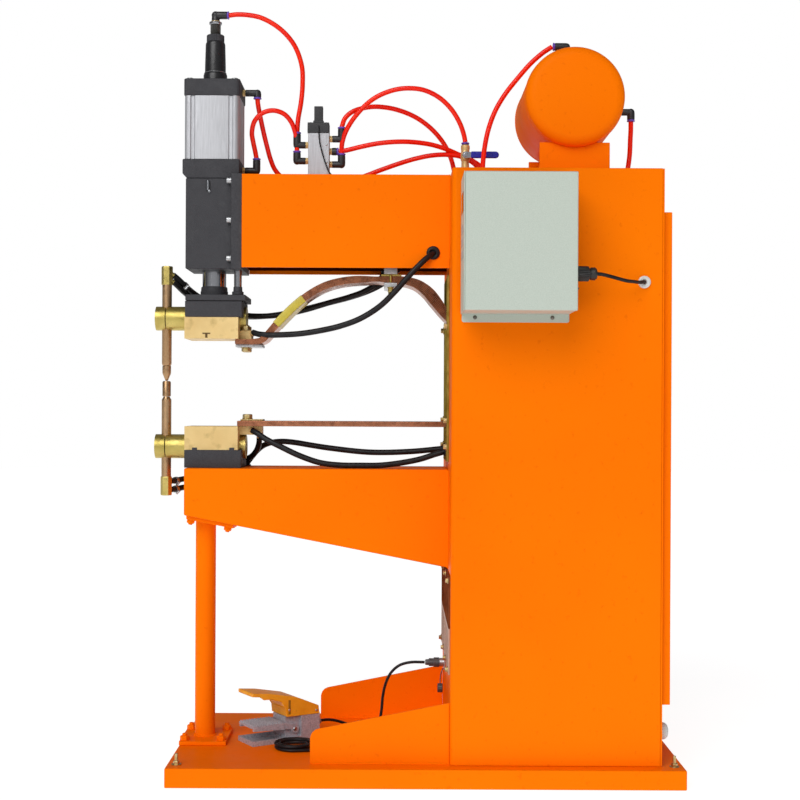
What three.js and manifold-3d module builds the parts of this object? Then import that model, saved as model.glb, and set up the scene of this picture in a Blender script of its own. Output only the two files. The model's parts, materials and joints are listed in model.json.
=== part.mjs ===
// Pneumatic spot welder: floor base, sheet-metal column, two horizontal arms, an air-driven
// upper electrode, the secondary circuit, the air circuit, the controller and a foot switch.
// Millimetres, +Z up. The origin is the centre of the base's underside.
// The operator stands at -X, the service door is at +X, and the controller hangs on the -Y side.

import * as THREE from 'three';
import { mergeVertices } from 'three/addons/utils/BufferGeometryUtils.js';
import Module from 'manifold-3d';

const wasm = await Module();
wasm.setup();

// ---------------------------------------------------------------- driving dimensions

const GAP = 0.3;            // clearance between pieces that touch
const ROUND = 32;           // sides of a round piece

const BASE = { length: 1000, depth: 500, height: 38, sheet: 5 };
const RIB = { length: 980, width: 120, sheet: 4 };

const COLUMN = { left: 47, right: 454, depth: 440, top: 1195, sheet: 3, corner: 10 };
const RAIL = { lefts: [205, 305], width: 30, bottom: 625, top: 650 };
const WINDOW = { halfWidth: 92, bottom: 640, top: 980 };
const VENT = { halfWidth: 170, bottom: 225, top: 392 };
const DOORWAY = { halfWidth: 185, bottom: 175, top: 1092 };
const DOOR = { inner: 460, outer: 475, halfWidth: 205, bottom: 155, top: 1112, sheet: 2 };
const LATCH = { y: 165, z: 640, radius: 12 };
const MAINS_GLAND = { y: -180, z: 99 };

const ARM = { halfWidth: 80, wall: 6 };
const GROMMET = { x: 14, z: 1044, radius: 10 };
const UPPER_ARM = { end: -375, bottom: 1013.5, top: 1203, recess: 8 };
const LOWER_ARM = { end: -490, top: 604.5, endBottom: 509, rootBottom: 405 };
const WING = { end: -224, y: 205, sheet: 5, endTop: 106.5, cornerRadius: 20, rootTop: 157 };
const PILLAR = { x: -455, radius: 21, flange: 96, flangeDepth: 130, flangeThickness: 8 };

const HEAD_X = -440;        // vertical axis of the cylinder and the ram
const ELECTRODE_X = -538.5; // vertical axis of both electrodes
const CONTACT_Z = 783;      // where the two electrode tips meet
const UPPER_CAP = { radius: 9, tipRadius: 5, shoulder: 795, top: 814.5 };
const LOWER_CAP = { radius: 8.7, bottom: 751 };
const BAR = { radius: 25, upperZ: 913, lowerZ: 647, left: -560, right: -371.5 };

const CYLINDER = { side: 115, top: 1402, bore: 100, barrelBottom: 1237, barrelTop: 1367, portX: -353 };
const SLEEVE = { flangeTop: 1424, top: 1489, boreRadius: 11 };
const HEAD = { left: -492, plateLeft: -397.5, halfWidth: 60, bottom: 1012, top: 1196.7 };
const RAM = { radius: 24.5, rodRadius: 15, bottom: 959.6, shoulder: 1160, collarTop: 979 };
const BUSH = { radius: 32, top: 1052 };
const GUIDE = { x: -386.3, y: -42, radius: 8, bottom: 959.6, top: 1150 };

const CONDUCTOR = { halfWidth: 40, thickness: 11, bottom: 690 };
const SHUNT = { thickness: 10, slotBottom: 893, slotTop: 938 };

const VALVE = { left: -245, right: -201, leftPortX: -269, rightPortX: -176 };
const BALL_VALVE = { x: 82, stemZ: 1254.5, leverTip: 151, leverHalf: 7 };
const TANK = { x: 295, z: 1353, radius: 99.5, halfLength: 145, shell: 4, elbowRise: 18.5, sidePortZ: 1348 };
const BOX = { left: 66, right: 274.5, front: -347, bottom: 910.3, top: 1167.3, sheet: 2 };

const ROCKER = { y: -300, z: 948 };
const CONNECTOR = { y: -285, z: 984 };

const PEDAL = { x: -300, y: -6, yaw: THREE.MathUtils.degToRad(32), length: 155, halfWidth: 34 };
const COIL = { x: -266, y: -76, inner: 21.5, outer: 40.5, height: 11.7 };
const SOCKET = { y: 40, z: 192 };
const CORD_RADIUS = 3;
const AIR_HOSE_RADIUS = 5;
const FLOOR_SHEET = BASE.height + GAP;   // height at which pieces stand on the base

// ---------------------------------------------------------------- materials

const paint = (color, roughness = 0.45, metalness = 0) =>
  new THREE.MeshStandardMaterial({ color, roughness, metalness });

const ORANGE = paint(0xff7a00);
const BLACK_PAINT = paint(0x343438, 0.7);
const CHROME = paint(0xd8d8dc, 0.12, 1);
const ALUMINIUM = paint(0xc4c5c9, 0.4, 1);
const BRASS = paint(0xd9b878, 0.4, 1);
const OLD_BRASS = paint(0x8a7532, 0.45, 1);
const COPPER = paint(0xb4714c, 0.4, 1);
const STEEL = paint(0x9a9ca0, 0.4, 1);
const OLIVE_LAMINATE = paint(0x8c7d3c, 0.55);
const BROWN_LAMINATE = paint(0x82462a, 0.6);
const GREY_PAINT = paint(0xb8c2b6, 0.5);
const PEDAL_GREY = paint(0x96969b, 0.5, 0.3);
const PEDAL_YELLOW = paint(0xfaaa14, 0.45);
const RUBBER = paint(0x1b1b1d, 0.75);
const RED_HOSE = paint(0xff1e00, 0.3);
const BLUE_GRIP = paint(0x0b0b8c, 0.4);
const CORE_STEEL = paint(0x4c4e52, 0.6, 0.6);

// ---------------------------------------------------------------- solid making

function toSolid(geometry) {
  const bare = geometry.clone();
  bare.deleteAttribute('normal');
  bare.deleteAttribute('uv');
  const merged = mergeVertices(bare, 1e-4);
  return new wasm.Manifold(new wasm.Mesh({
    numProp: 3,
    vertProperties: new Float32Array(merged.attributes.position.array),
    triVerts: new Uint32Array(merged.index.array),
  }));
}

function toGeometry(solid) {
  const mesh = solid.getMesh();
  const geometry = new THREE.BufferGeometry();
  geometry.setAttribute('position', new THREE.BufferAttribute(mesh.vertProperties, 3));
  geometry.setIndex(new THREE.BufferAttribute(mesh.triVerts, 1));
  geometry.computeVertexNormals();
  return geometry;
}

function cut(body, ...tools) {
  let solid = toSolid(body);
  for (const tool of tools) solid = solid.subtract(toSolid(tool));
  return toGeometry(solid);
}

function join(...parts) {
  let solid = toSolid(parts[0]);
  for (const part of parts.slice(1)) solid = solid.add(toSolid(part));
  return toGeometry(solid);
}

function block(x0, x1, y0, y1, z0, z1) {
  const geometry = new THREE.BoxGeometry(x1 - x0, y1 - y0, z1 - z0);
  return geometry.translate((x0 + x1) / 2, (y0 + y1) / 2, (z0 + z1) / 2);
}

// A turned piece: outline is [radius, height] from the bottom of the axis to its top.
function turned(outline, sides = ROUND) {
  const points = outline.map(([radius, height]) => new THREE.Vector2(radius, height));
  return new THREE.LatheGeometry(points, sides).rotateX(Math.PI / 2);
}

function rod(radius, bottom, top, x = 0, y = 0, sides = ROUND) {
  const outline = [[0, bottom], [radius, bottom], [radius, top], [0, top]];
  return turned(outline, sides).translate(x, y, 0);
}

function rodAlongX(radius, x0, x1, y, z, sides = ROUND) {
  return rod(radius, x0, x1, 0, 0, sides).rotateY(Math.PI / 2).translate(0, y, z);
}

function rodAlongY(radius, y0, y1, x, z, sides = ROUND) {
  return rod(radius, -y1, -y0, 0, 0, sides).rotateX(Math.PI / 2).translate(x, 0, z);
}

// A plate whose side outline is given as [x, z] corners, spanning y0 to y1.
function plateXZ(outline, y0, y1) {
  const shape = outline instanceof THREE.Shape
    ? outline
    : new THREE.Shape(outline.map(([x, z]) => new THREE.Vector2(x, z)));
  const geometry = new THREE.ExtrudeGeometry(shape, { depth: y1 - y0, bevelEnabled: false });
  return geometry.rotateX(Math.PI / 2).translate(0, y1, 0);
}

// A tube of the given radius along a smooth curve through the points.
function hose(points, radius, step, sides = 8) {
  const curve = new THREE.CatmullRomCurve3(points.map((p) => new THREE.Vector3(...p)), false, 'centripetal');
  const section = new THREE.Shape();
  section.absarc(0, 0, radius, 0, 2 * Math.PI);
  return new THREE.ExtrudeGeometry(section, {
    steps: Math.ceil(curve.getLength() / step),
    curveSegments: sides / 2,
    extrudePath: curve,
    bevelEnabled: false,
  });
}

// A push-in elbow: a nipple from the wall along X, then a body that turns up or down.
function elbow(wallX, x, y, z, rise) {
  const bodyRadius = 7.5;
  const reach = [Math.min(wallX, x), Math.max(wallX, x)];
  const low = Math.min(z - bodyRadius, z + rise);
  const high = Math.max(z + bodyRadius, z + rise);
  return join(
    rodAlongX(6, reach[0], reach[1], y, z, 16),
    rod(bodyRadius, low, high, x, y, 16),
  );
}

const welder = new THREE.Group();

function piece(name, geometry, material, parent = welder) {
  const mesh = new THREE.Mesh(geometry, material);
  mesh.name = name;
  parent.add(mesh);
  return mesh;
}

// ---------------------------------------------------------------- base and column

function makeBase() {
  const halfLength = BASE.length / 2;
  const halfDepth = BASE.depth / 2;
  const pan = cut(
    block(-halfLength, halfLength, -halfDepth, halfDepth, 0, BASE.height),
    block(-halfLength + BASE.sheet, halfLength - BASE.sheet,
      -halfDepth + BASE.sheet, halfDepth - BASE.sheet, -1, BASE.height - BASE.sheet),
  );
  piece('base_pan', pan, ORANGE);

  const ribTop = BASE.height - BASE.sheet - GAP;
  const rib = cut(
    block(-RIB.length / 2, RIB.length / 2, -RIB.width / 2, RIB.width / 2, 0, ribTop),
    block(-RIB.length, RIB.length, -RIB.width / 2 + RIB.sheet, RIB.width / 2 - RIB.sheet,
      RIB.sheet, ribTop + 1),
  );
  piece('base_rib', rib, ORANGE);
}

// The column's plan outline, grown or shrunk by an inset, with its two left corners folded round.
function columnOutline(inset, right) {
  const left = COLUMN.left + inset;
  const half = COLUMN.depth / 2 - inset;
  const radius = COLUMN.corner - inset;
  const outline = new THREE.Shape();
  outline.moveTo(right, -half);
  outline.lineTo(right, half);
  outline.lineTo(left + radius, half);
  outline.absarc(left + radius, half - radius, radius, Math.PI / 2, Math.PI);
  outline.lineTo(left, -half + radius);
  outline.absarc(left + radius, -half + radius, radius, Math.PI, 1.5 * Math.PI);
  return outline;
}

function columnPrism(inset, right, bottom, top) {
  const options = { depth: top - bottom, bevelEnabled: false, curveSegments: 5 };
  return new THREE.ExtrudeGeometry(columnOutline(inset, right), options).translate(0, 0, bottom);
}

function makeColumn() {
  const wallOut = COLUMN.left - 5;
  const wallIn = COLUMN.left + 20;
  const skin = cut(
    columnPrism(0, COLUMN.right, FLOOR_SHEET, COLUMN.top),
    columnPrism(COLUMN.sheet, COLUMN.right + 1, FLOOR_SHEET - 1, COLUMN.top - COLUMN.sheet),
    block(wallOut, wallIn, -WINDOW.halfWidth, WINDOW.halfWidth, WINDOW.bottom, WINDOW.top),
    block(wallOut, wallIn, -VENT.halfWidth, VENT.halfWidth, VENT.bottom, VENT.top),
  );
  const skinHalf = COLUMN.depth / 2 - 1;
  const rails = RAIL.lefts.map((x) =>
    block(x, x + RAIL.width, -skinHalf, skinHalf, RAIL.bottom, RAIL.top - GAP));
  piece('column_shell', join(skin, ...rails), ORANGE);

  const frameLeft = COLUMN.right + GAP;
  const frameRight = frameLeft + COLUMN.sheet;
  const half = COLUMN.depth / 2 - 0.5;
  const doorFrame = cut(
    block(frameLeft, frameRight, -half, half, FLOOR_SHEET, COLUMN.top - 0.5),
    block(frameLeft - 1, frameRight + 1, -DOORWAY.halfWidth, DOORWAY.halfWidth, DOORWAY.bottom, DOORWAY.top),
  );
  const mainsGland = join(
    rodAlongX(13, frameRight - 1, frameRight + 6, MAINS_GLAND.y, MAINS_GLAND.z, 24),
    rodAlongX(16, frameRight + 5, frameRight + 19, MAINS_GLAND.y, MAINS_GLAND.z, 24),
  );
  piece('column_door_frame', join(doorFrame, mainsGland), ORANGE);

  const left = COLUMN.left - GAP;
  const slotHalf = CONDUCTOR.halfWidth + 3;
  const windowPanel = cut(
    block(left - 4, left, -100, 100, WINDOW.bottom - 19, WINDOW.top + 17),
    block(left - 6, left + 2, -slotHalf, slotHalf, CONDUCTOR.bottom - 2,
      CONDUCTOR.bottom + CONDUCTOR.thickness + 2),
    block(left - 6, left + 2, -slotHalf, slotHalf, SHUNT.slotBottom, SHUNT.slotTop),
  );
  piece('secondary_window_panel', windowPanel, OLIVE_LAMINATE);
  piece('vent_panel', block(left - 3, left, -205, 205, VENT.bottom - 14, VENT.top + 10), BROWN_LAMINATE);
}

function makeRearDoor() {
  const half = DOOR.halfWidth;
  const door = cut(
    block(DOOR.inner, DOOR.outer, -half, half, DOOR.bottom, DOOR.top),
    block(DOOR.inner - 1, DOOR.outer - DOOR.sheet, -half + DOOR.sheet, half - DOOR.sheet,
      DOOR.bottom + DOOR.sheet, DOOR.top - DOOR.sheet),
  );
  piece('rear_door', door, ORANGE);

  const latch = join(
    rodAlongX(LATCH.radius, DOOR.outer + GAP, DOOR.outer + 5, LATCH.y, LATCH.z, 24),
    block(DOOR.outer + 4, DOOR.outer + 13, LATCH.y - 5, LATCH.y + 5, LATCH.z - 28, LATCH.z + 12),
  );
  piece('door_latch', latch, BLACK_PAINT);
}

function wingOutline() {
  const root = COLUMN.left - GAP;
  const slope = (WING.rootTop - WING.endTop) / (root - (WING.end + WING.cornerRadius));
  const cornerX = WING.end + WING.cornerRadius;
  const cornerZ = WING.rootTop - slope * (root - cornerX);
  const outline = new THREE.Shape();
  outline.moveTo(WING.end, FLOOR_SHEET);
  outline.lineTo(root, FLOOR_SHEET);
  outline.lineTo(root, WING.rootTop);
  outline.lineTo(cornerX, cornerZ);
  outline.quadraticCurveTo(WING.end + 2, cornerZ - 3, WING.end, cornerZ - WING.cornerRadius);
  return outline;
}

function makeWings() {
  const half = WING.sheet / 2;
  piece('front_wing', plateXZ(wingOutline(), -WING.y - half, -WING.y + half), ORANGE);
  piece('rear_wing', plateXZ(wingOutline(), WING.y - half, WING.y + half), ORANGE);
}

// ---------------------------------------------------------------- arms and pillar

function makeUpperArm() {
  const { halfWidth, wall } = ARM;
  const root = COLUMN.left - GAP;
  const recessZ = UPPER_ARM.bottom + UPPER_ARM.recess;
  const arm = cut(
    block(UPPER_ARM.end, root, -halfWidth, halfWidth, UPPER_ARM.bottom, UPPER_ARM.top),
    block(UPPER_ARM.end - 1, root + 1, -halfWidth + wall, halfWidth - wall,
      recessZ + wall, UPPER_ARM.top - wall),
    block(UPPER_ARM.end - 1, root + 1, -halfWidth + wall, halfWidth - wall,
      UPPER_ARM.bottom - 1, recessZ),
    rodAlongY(GROMMET.radius, -halfWidth - 1, -halfWidth + wall + 1, GROMMET.x, GROMMET.z, 24),
  );
  piece('upper_arm', arm, ORANGE);
}

// Height of the lower arm's sloping underside at x.
function armUnderside(x) {
  const root = COLUMN.left - GAP;
  const fall = (LOWER_ARM.endBottom - LOWER_ARM.rootBottom) / (root - LOWER_ARM.end);
  return LOWER_ARM.endBottom - fall * (x - LOWER_ARM.end);
}

function makeLowerArm() {
  const { halfWidth, wall } = ARM;
  const root = COLUMN.left - GAP;
  const outer = [
    [LOWER_ARM.end, LOWER_ARM.endBottom],
    [root, LOWER_ARM.rootBottom],
    [root, LOWER_ARM.top],
    [LOWER_ARM.end, LOWER_ARM.top],
  ];
  const innerLeft = LOWER_ARM.end + wall;
  const inner = [
    [innerLeft, armUnderside(innerLeft) + wall],
    [root + 10, armUnderside(root + 10) + wall],
    [root + 10, LOWER_ARM.top - wall],
    [innerLeft, LOWER_ARM.top - wall],
  ];
  const arm = cut(
    plateXZ(outer, -halfWidth, halfWidth),
    plateXZ(inner, -halfWidth + wall, halfWidth - wall),
  );
  piece('lower_arm', arm, ORANGE);
}

function makePillar() {
  const { x, radius, flange, flangeDepth, flangeThickness } = PILLAR;
  const half = flangeDepth / 2;
  const left = LOWER_ARM.end + 3;
  const right = left + flange;
  const below = 2 * GAP;
  const topFlange = plateXZ([
    [left, armUnderside(left) - below - flangeThickness],
    [right, armUnderside(right) - below - flangeThickness],
    [right, armUnderside(right) - below],
    [left, armUnderside(left) - below],
  ], -half, half);
  const baseFlange = block(-BASE.length / 2, flange - BASE.length / 2, -half, half,
    FLOOR_SHEET, FLOOR_SHEET + flangeThickness);
  const post = rod(radius, FLOOR_SHEET + 1, armUnderside(x + radius) - 4, x);
  piece('support_pillar', join(baseFlange, post, topFlange), ORANGE);
}

// ---------------------------------------------------------------- head and cylinder

function makeHead() {
  const plateRight = UPPER_ARM.end - GAP;
  const plate = cut(
    block(HEAD.plateLeft, plateRight, -75, 75, 1010, 1205),
    rod(GUIDE.radius + GAP, 1000, GUIDE.top + 45, GUIDE.x, GUIDE.y, 24),
  );
  piece('head_mount_plate', plate, BLACK_PAINT);

  const housing = cut(
    block(HEAD.left, HEAD.plateLeft - GAP, -HEAD.halfWidth, HEAD.halfWidth, HEAD.bottom, HEAD.top),
    rod(BUSH.radius, HEAD.bottom - 1, BUSH.top, HEAD_X),
    rod(28, HEAD.bottom, HEAD.top + 1, HEAD_X),
  );
  piece('head_housing', housing, BLACK_PAINT);

  const bush = cut(
    rod(BUSH.radius - GAP, HEAD.bottom + GAP, BUSH.top - GAP, HEAD_X),
    rod(RAM.radius + GAP, HEAD.bottom - 5, BUSH.top + 5, HEAD_X),
  );
  piece('ram_bush', bush, BRASS);
}

function makeCylinder() {
  const half = CYLINDER.side / 2;
  const left = HEAD_X - half;
  const right = HEAD_X + half;

  const topCap = cut(
    join(
      block(left, right, -half, half, CYLINDER.barrelTop + GAP, CYLINDER.top),
      elbow(right - 2, CYLINDER.portX, 0, 1384, -22),
    ),
    rod(SLEEVE.boreRadius + GAP, CYLINDER.barrelTop - 1, CYLINDER.top + 1, HEAD_X),
  );
  piece('cylinder_top_cap', topCap, ALUMINIUM);

  const barrelHalf = half - 1.5;
  const barrel = cut(
    block(HEAD_X - barrelHalf, HEAD_X + barrelHalf, -barrelHalf, barrelHalf,
      CYLINDER.barrelBottom + GAP, CYLINDER.barrelTop),
    rod(CYLINDER.bore / 2, CYLINDER.barrelBottom - 1, CYLINDER.barrelTop + 1, HEAD_X),
  );
  piece('cylinder_barrel', barrel, ALUMINIUM);

  const flange = half + 2;
  const chamfer = 10;
  const lowerCapOutline = [
    [HEAD_X - flange + chamfer, HEAD.top + GAP],
    [HEAD_X + half - chamfer, HEAD.top + GAP],
    [HEAD_X + half, HEAD.top + GAP + chamfer],
    [HEAD_X + half, CYLINDER.barrelBottom],
    [HEAD_X - flange, CYLINDER.barrelBottom],
    [HEAD_X - flange, HEAD.top + GAP + chamfer],
  ];
  const clearOfPlate = block(HEAD.plateLeft - GAP, right + 20, -half - 1, half + 1, 1190, 1205 + GAP);
  const bottomCap = cut(
    join(
      plateXZ(lowerCapOutline, -half, half),
      elbow(right - 2, CYLINDER.portX, 0, 1222, 28),
    ),
    rod(RAM.rodRadius + GAP, 1190, 1240, HEAD_X),
    clearOfPlate,
  );
  piece('cylinder_bottom_cap', bottomCap, ALUMINIUM);

  const sleeve = cut(
    turned([
      [0, CYLINDER.top + GAP], [24.5, CYLINDER.top + GAP], [24.5, SLEEVE.flangeTop],
      [21.5, SLEEVE.flangeTop], [20, SLEEVE.top], [0, SLEEVE.top],
    ]).translate(HEAD_X, 0, 0),
    rod(SLEEVE.boreRadius + GAP, 1400, 1500, HEAD_X),
  );
  piece('adjuster_sleeve', sleeve, BLACK_PAINT);
}

// The retract piston and its hollow rod leave through the top cap; the nut sets the stroke.
function makeRetractSet() {
  const elbowZ = 1549;
  const hollowRod = join(
    cut(
      turned([
        [0, 1305], [CYLINDER.bore / 2 - GAP, 1305], [CYLINDER.bore / 2 - GAP, 1322], [11, 1322],
        [11, 1526], [13, 1526], [13, 1532], [0, 1532],
      ], 48).translate(HEAD_X, 0, 0),
      rod(5, 1300, 1500, HEAD_X, 0, 16),
    ),
    rod(8.5, 1531, 1555, HEAD_X, 0, 20),
    rodAlongX(8, HEAD_X, HEAD_X + 26, 0, elbowZ - 3, 20),
  );
  piece('hollow_rod', hollowRod, CHROME);

  const nut = cut(
    rod(18, SLEEVE.top + GAP, SLEEVE.top + 14.7, HEAD_X),
    rod(SLEEVE.boreRadius + GAP, SLEEVE.top - 9, SLEEVE.top + 21, HEAD_X),
  );
  piece('stroke_nut', nut, BLACK_PAINT);

  const route = [
    [HEAD_X + 27.5, 0, 1546], [-396, 0, 1548], [-372, 0, 1547], [-344, 0, 1541], [-306, 0, 1519],
    [-276, 0, 1485], [-260, 0, 1442], [-258, 0, 1404], [-261, 0, 1366], [-267, 0, 1330],
    [-269, 0, 1302.5],
  ];
  piece('retract_air_hose', hose(route, AIR_HOSE_RADIUS, 20), RED_HOSE);
}

// ---------------------------------------------------------------- ram and upper electrode

function makeRam() {
  const pistonRadius = CYLINDER.bore / 2 - GAP;
  const piston = cut(
    rod(pistonRadius, 1245, 1263, HEAD_X, 0, 48),
    rod(RAM.rodRadius + GAP, 1240, 1270, HEAD_X),
  );
  piece('main_piston', piston, ALUMINIUM);

  const shaft = turned([
    [0, RAM.bottom], [28.5, RAM.bottom], [28.5, 970], [27, 970], [27, RAM.collarTop],
    [RAM.radius, RAM.collarTop], [RAM.radius, RAM.shoulder], [RAM.rodRadius, RAM.shoulder],
    [RAM.rodRadius, 1266], [0, 1266],
  ]).translate(HEAD_X, 0, 0);
  piece('ram_shaft', shaft, CHROME);

  const guide = turned([
    [0, GUIDE.bottom], [9, GUIDE.bottom], [9, 976], [GUIDE.radius, 976],
    [GUIDE.radius, GUIDE.top], [0, GUIDE.top],
  ], 24).translate(GUIDE.x, GUIDE.y, 0);
  piece('guide_rod', guide, CHROME);

  piece('ram_plate', block(HEAD.left, -369, -60, 60, 947.2, RAM.bottom - GAP), BLACK_PAINT);
}

// A holder block with a half-round seat for the electrode bar.
function clampBlock(x0, x1, halfWidth, z0, z1, barZ, ...extras) {
  return cut(
    join(block(x0, x1, -halfWidth, halfWidth, z0, z1), ...extras),
    rodAlongX(BAR.radius + GAP, BAR.left - 10, BAR.right + 10, 0, barZ, 48),
  );
}

// The round bar that carries an electrode, slit from the front so that it grips the tube.
function electrodeBar(z) {
  return cut(
    rodAlongX(BAR.radius, BAR.left, BAR.right, 0, z, 48),
    rod(10 + GAP, z - 40, z + 40, ELECTRODE_X, 0, 32),
    block(ELECTRODE_X - 1, ELECTRODE_X + 1, -40, -5, z - 40, z + 40),
  );
}

function makeUpperElectrode() {
  piece('upper_insulator_block',
    clampBlock(HEAD.left - 1, -376, 57, BAR.upperZ + 0.7, 946.9, BAR.upperZ), BLACK_PAINT);
  piece('upper_clamp_block',
    clampBlock(-494, -384, 55, 869.3, BAR.upperZ + 0.4, BAR.upperZ,
      block(-385, -360, -20, 20, 870, 888)), BRASS);
  piece('upper_electrode_bar', electrodeBar(BAR.upperZ), OLD_BRASS);

  const tube = join(
    rod(10, UPPER_CAP.top + GAP, 985, ELECTRODE_X, 0, 32),
    rod(12, 983, 1022, ELECTRODE_X, 0, 6),
  );
  piece('upper_electrode', tube, COPPER);

  const tip = turned([
    [0, CONTACT_Z + GAP / 2], [UPPER_CAP.tipRadius, CONTACT_Z + GAP / 2],
    [UPPER_CAP.radius, UPPER_CAP.shoulder], [UPPER_CAP.radius, UPPER_CAP.top], [0, UPPER_CAP.top],
  ], 32).translate(ELECTRODE_X, 0, 0);
  piece('upper_cap_tip', tip, COPPER);
}

function makeLowerElectrode() {
  piece('lower_insulator_block',
    clampBlock(-493, -377, 57, LOWER_ARM.top + GAP, 641, BAR.lowerZ), BLACK_PAINT);
  piece('lower_clamp_block',
    clampBlock(-493, -384, 55, 641.3, 689.5, BAR.lowerZ,
      block(-385, -338, -20, 20, 672, 689.5)), BRASS);
  piece('lower_electrode_bar', electrodeBar(BAR.lowerZ), OLD_BRASS);

  const tube = join(
    rod(10, 582, LOWER_CAP.bottom - GAP, ELECTRODE_X, 0, 32),
    rod(12, 544.5, 584, ELECTRODE_X, 0, 6),
  );
  piece('lower_electrode', tube, COPPER);
  piece('lower_cap_tip',
    rod(LOWER_CAP.radius, LOWER_CAP.bottom, CONTACT_Z - GAP / 2, ELECTRODE_X, 0, 32), COPPER);
}

// ---------------------------------------------------------------- secondary circuit

// The outline of a band of even thickness that follows the given [x, z] centreline.
function bandOutline(points, thickness) {
  const curve = new THREE.SplineCurve(points.map(([x, z]) => new THREE.Vector2(x, z)));
  const count = 48;
  const left = [];
  const right = [];
  for (let i = 0; i <= count; i += 1) {
    const at = curve.getPointAt(i / count);
    const along = curve.getTangentAt(i / count);
    const across = new THREE.Vector2(-along.y, along.x).multiplyScalar(thickness / 2);
    left.push(at.clone().add(across));
    right.unshift(at.clone().sub(across));
  }
  return new THREE.Shape([...right, ...left]);
}

function makeSecondaryCircuit() {
  const { halfWidth, thickness, bottom } = CONDUCTOR;
  piece('lower_conductor_bar',
    block(-387, 108, -halfWidth, halfWidth, bottom, bottom + thickness), COPPER);

  const route = [
    [-392, 864], [-372, 864], [-352, 864.5], [-336, 868], [-321, 884], [-300, 908], [-270, 938],
    [-240, 962], [-205, 981], [-165, 991], [-120, 994], [-72, 993.6], [-40, 991], [-17, 984],
    [5, 968], [24, 945], [42, 921], [60, 903], [82, 895.5], [120, 895],
  ];
  piece('shunt', plateXZ(bandOutline(route, SHUNT.thickness), -halfWidth, halfWidth), COPPER);

  const clampHalf = halfWidth + 10;
  const clamp = cut(
    block(-86, -58, -clampHalf, clampHalf, 974, UPPER_ARM.bottom + UPPER_ARM.recess - GAP),
    block(-90, -50, -halfWidth - 1, halfWidth + 1, 987.3, 999.7),
  );
  piece('shunt_clamp', clamp, STEEL);
}

function makeTransformer() {
  const core = cut(
    block(210, 330, -150, 150, 650, 930),
    block(200, 340, 40, 110, 690, 890),
    block(200, 340, -110, -40, 690, 890),
  );
  piece('transformer_core', core, CORE_STEEL);

  const limbHole = block(207, 333, -42, 42, 600, 1000);
  const disc = (z0, z1, x0, x1, y) => cut(block(x0, x1, -y, y, z0, z1), limbHole);
  const primary = join(
    disc(700, 760, 160, 380, 106),
    disc(820, 880, 160, 380, 106),
    block(371, 380, -30, 30, 755, 825),
  );
  piece('transformer_coil', primary, OLIVE_LAMINATE);

  const turn = join(
    cut(disc(765, 815, 165, 368, 104), block(150, 208, -3, 3, 700, 900)),
    block(110, 170, 3, 43, 765, 880),
    block(110, 170, -43, -3, 680, 815),
  );
  const secondary = join(
    cut(turn, block(155, 180, -60, 60, 600, 764), block(155, 180, -60, 60, 816, 900)),
    block(60, 152, -40, 40, 868, 889.6),
    block(60, 152, -40, 40, 668, 689.7),
  );
  piece('secondary_casting', secondary, COPPER);

  const wallY = -COLUMN.depth / 2 + COLUMN.sheet + GAP;
  const thyristor = join(
    block(200, 340, wallY, wallY + 24, 300, 460),
    rodAlongY(32, wallY + 20, wallY + 70, 270, 345, 24),
    rodAlongY(32, wallY + 20, wallY + 70, 270, 415, 24),
    block(225, 315, wallY + 66, wallY + 80, 305, 455),
  );
  piece('thyristor_module', thyristor, STEEL);
}

// ---------------------------------------------------------------- air circuit

function makeSolenoidValve() {
  const { left, right, leftPortX, rightPortX } = VALVE;
  const valve = join(
    block(left, right, -15, 15, UPPER_ARM.top + GAP, 1321),
    block(-232, -216, -9, 9, 1320, 1356),
    elbow(left + 2, leftPortX, 0, 1276, 26),
    elbow(left + 2, leftPortX, 0, 1243, 17),
    elbow(right - 2, rightPortX, 0, 1289, 22),
    elbow(right - 2, rightPortX, 0, 1236, 20),
    rodAlongX(6.5, right - 2, rightPortX - 7, 0, 1263, 16),
  );
  piece('solenoid_valve', valve, BLACK_PAINT);
}

function makeBallValve() {
  const { x, stemZ, leverTip, leverHalf } = BALL_VALVE;
  const body = join(
    turned([
      [0, COLUMN.top + GAP], [9, COLUMN.top + GAP], [9, 1232], [8, 1232], [8, 1245], [10, 1245],
      [10, 1264], [8.3, 1264], [8.3, 1282.5], [0, 1282.5],
    ], 20).translate(x, 0, 0),
    rodAlongY(5, -15, -8, x, stemZ, 16),
  );
  piece('ball_valve', body, BRASS);

  const grip = new THREE.Shape();
  grip.moveTo(x - 8, stemZ - leverHalf);
  grip.lineTo(leverTip - leverHalf, stemZ - leverHalf);
  grip.absarc(leverTip - leverHalf, stemZ, leverHalf, -Math.PI / 2, Math.PI / 2);
  grip.lineTo(x - 8, stemZ + leverHalf);
  piece('valve_lever', plateXZ(grip, -22, -15 - GAP), BLUE_GRIP);
}

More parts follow.
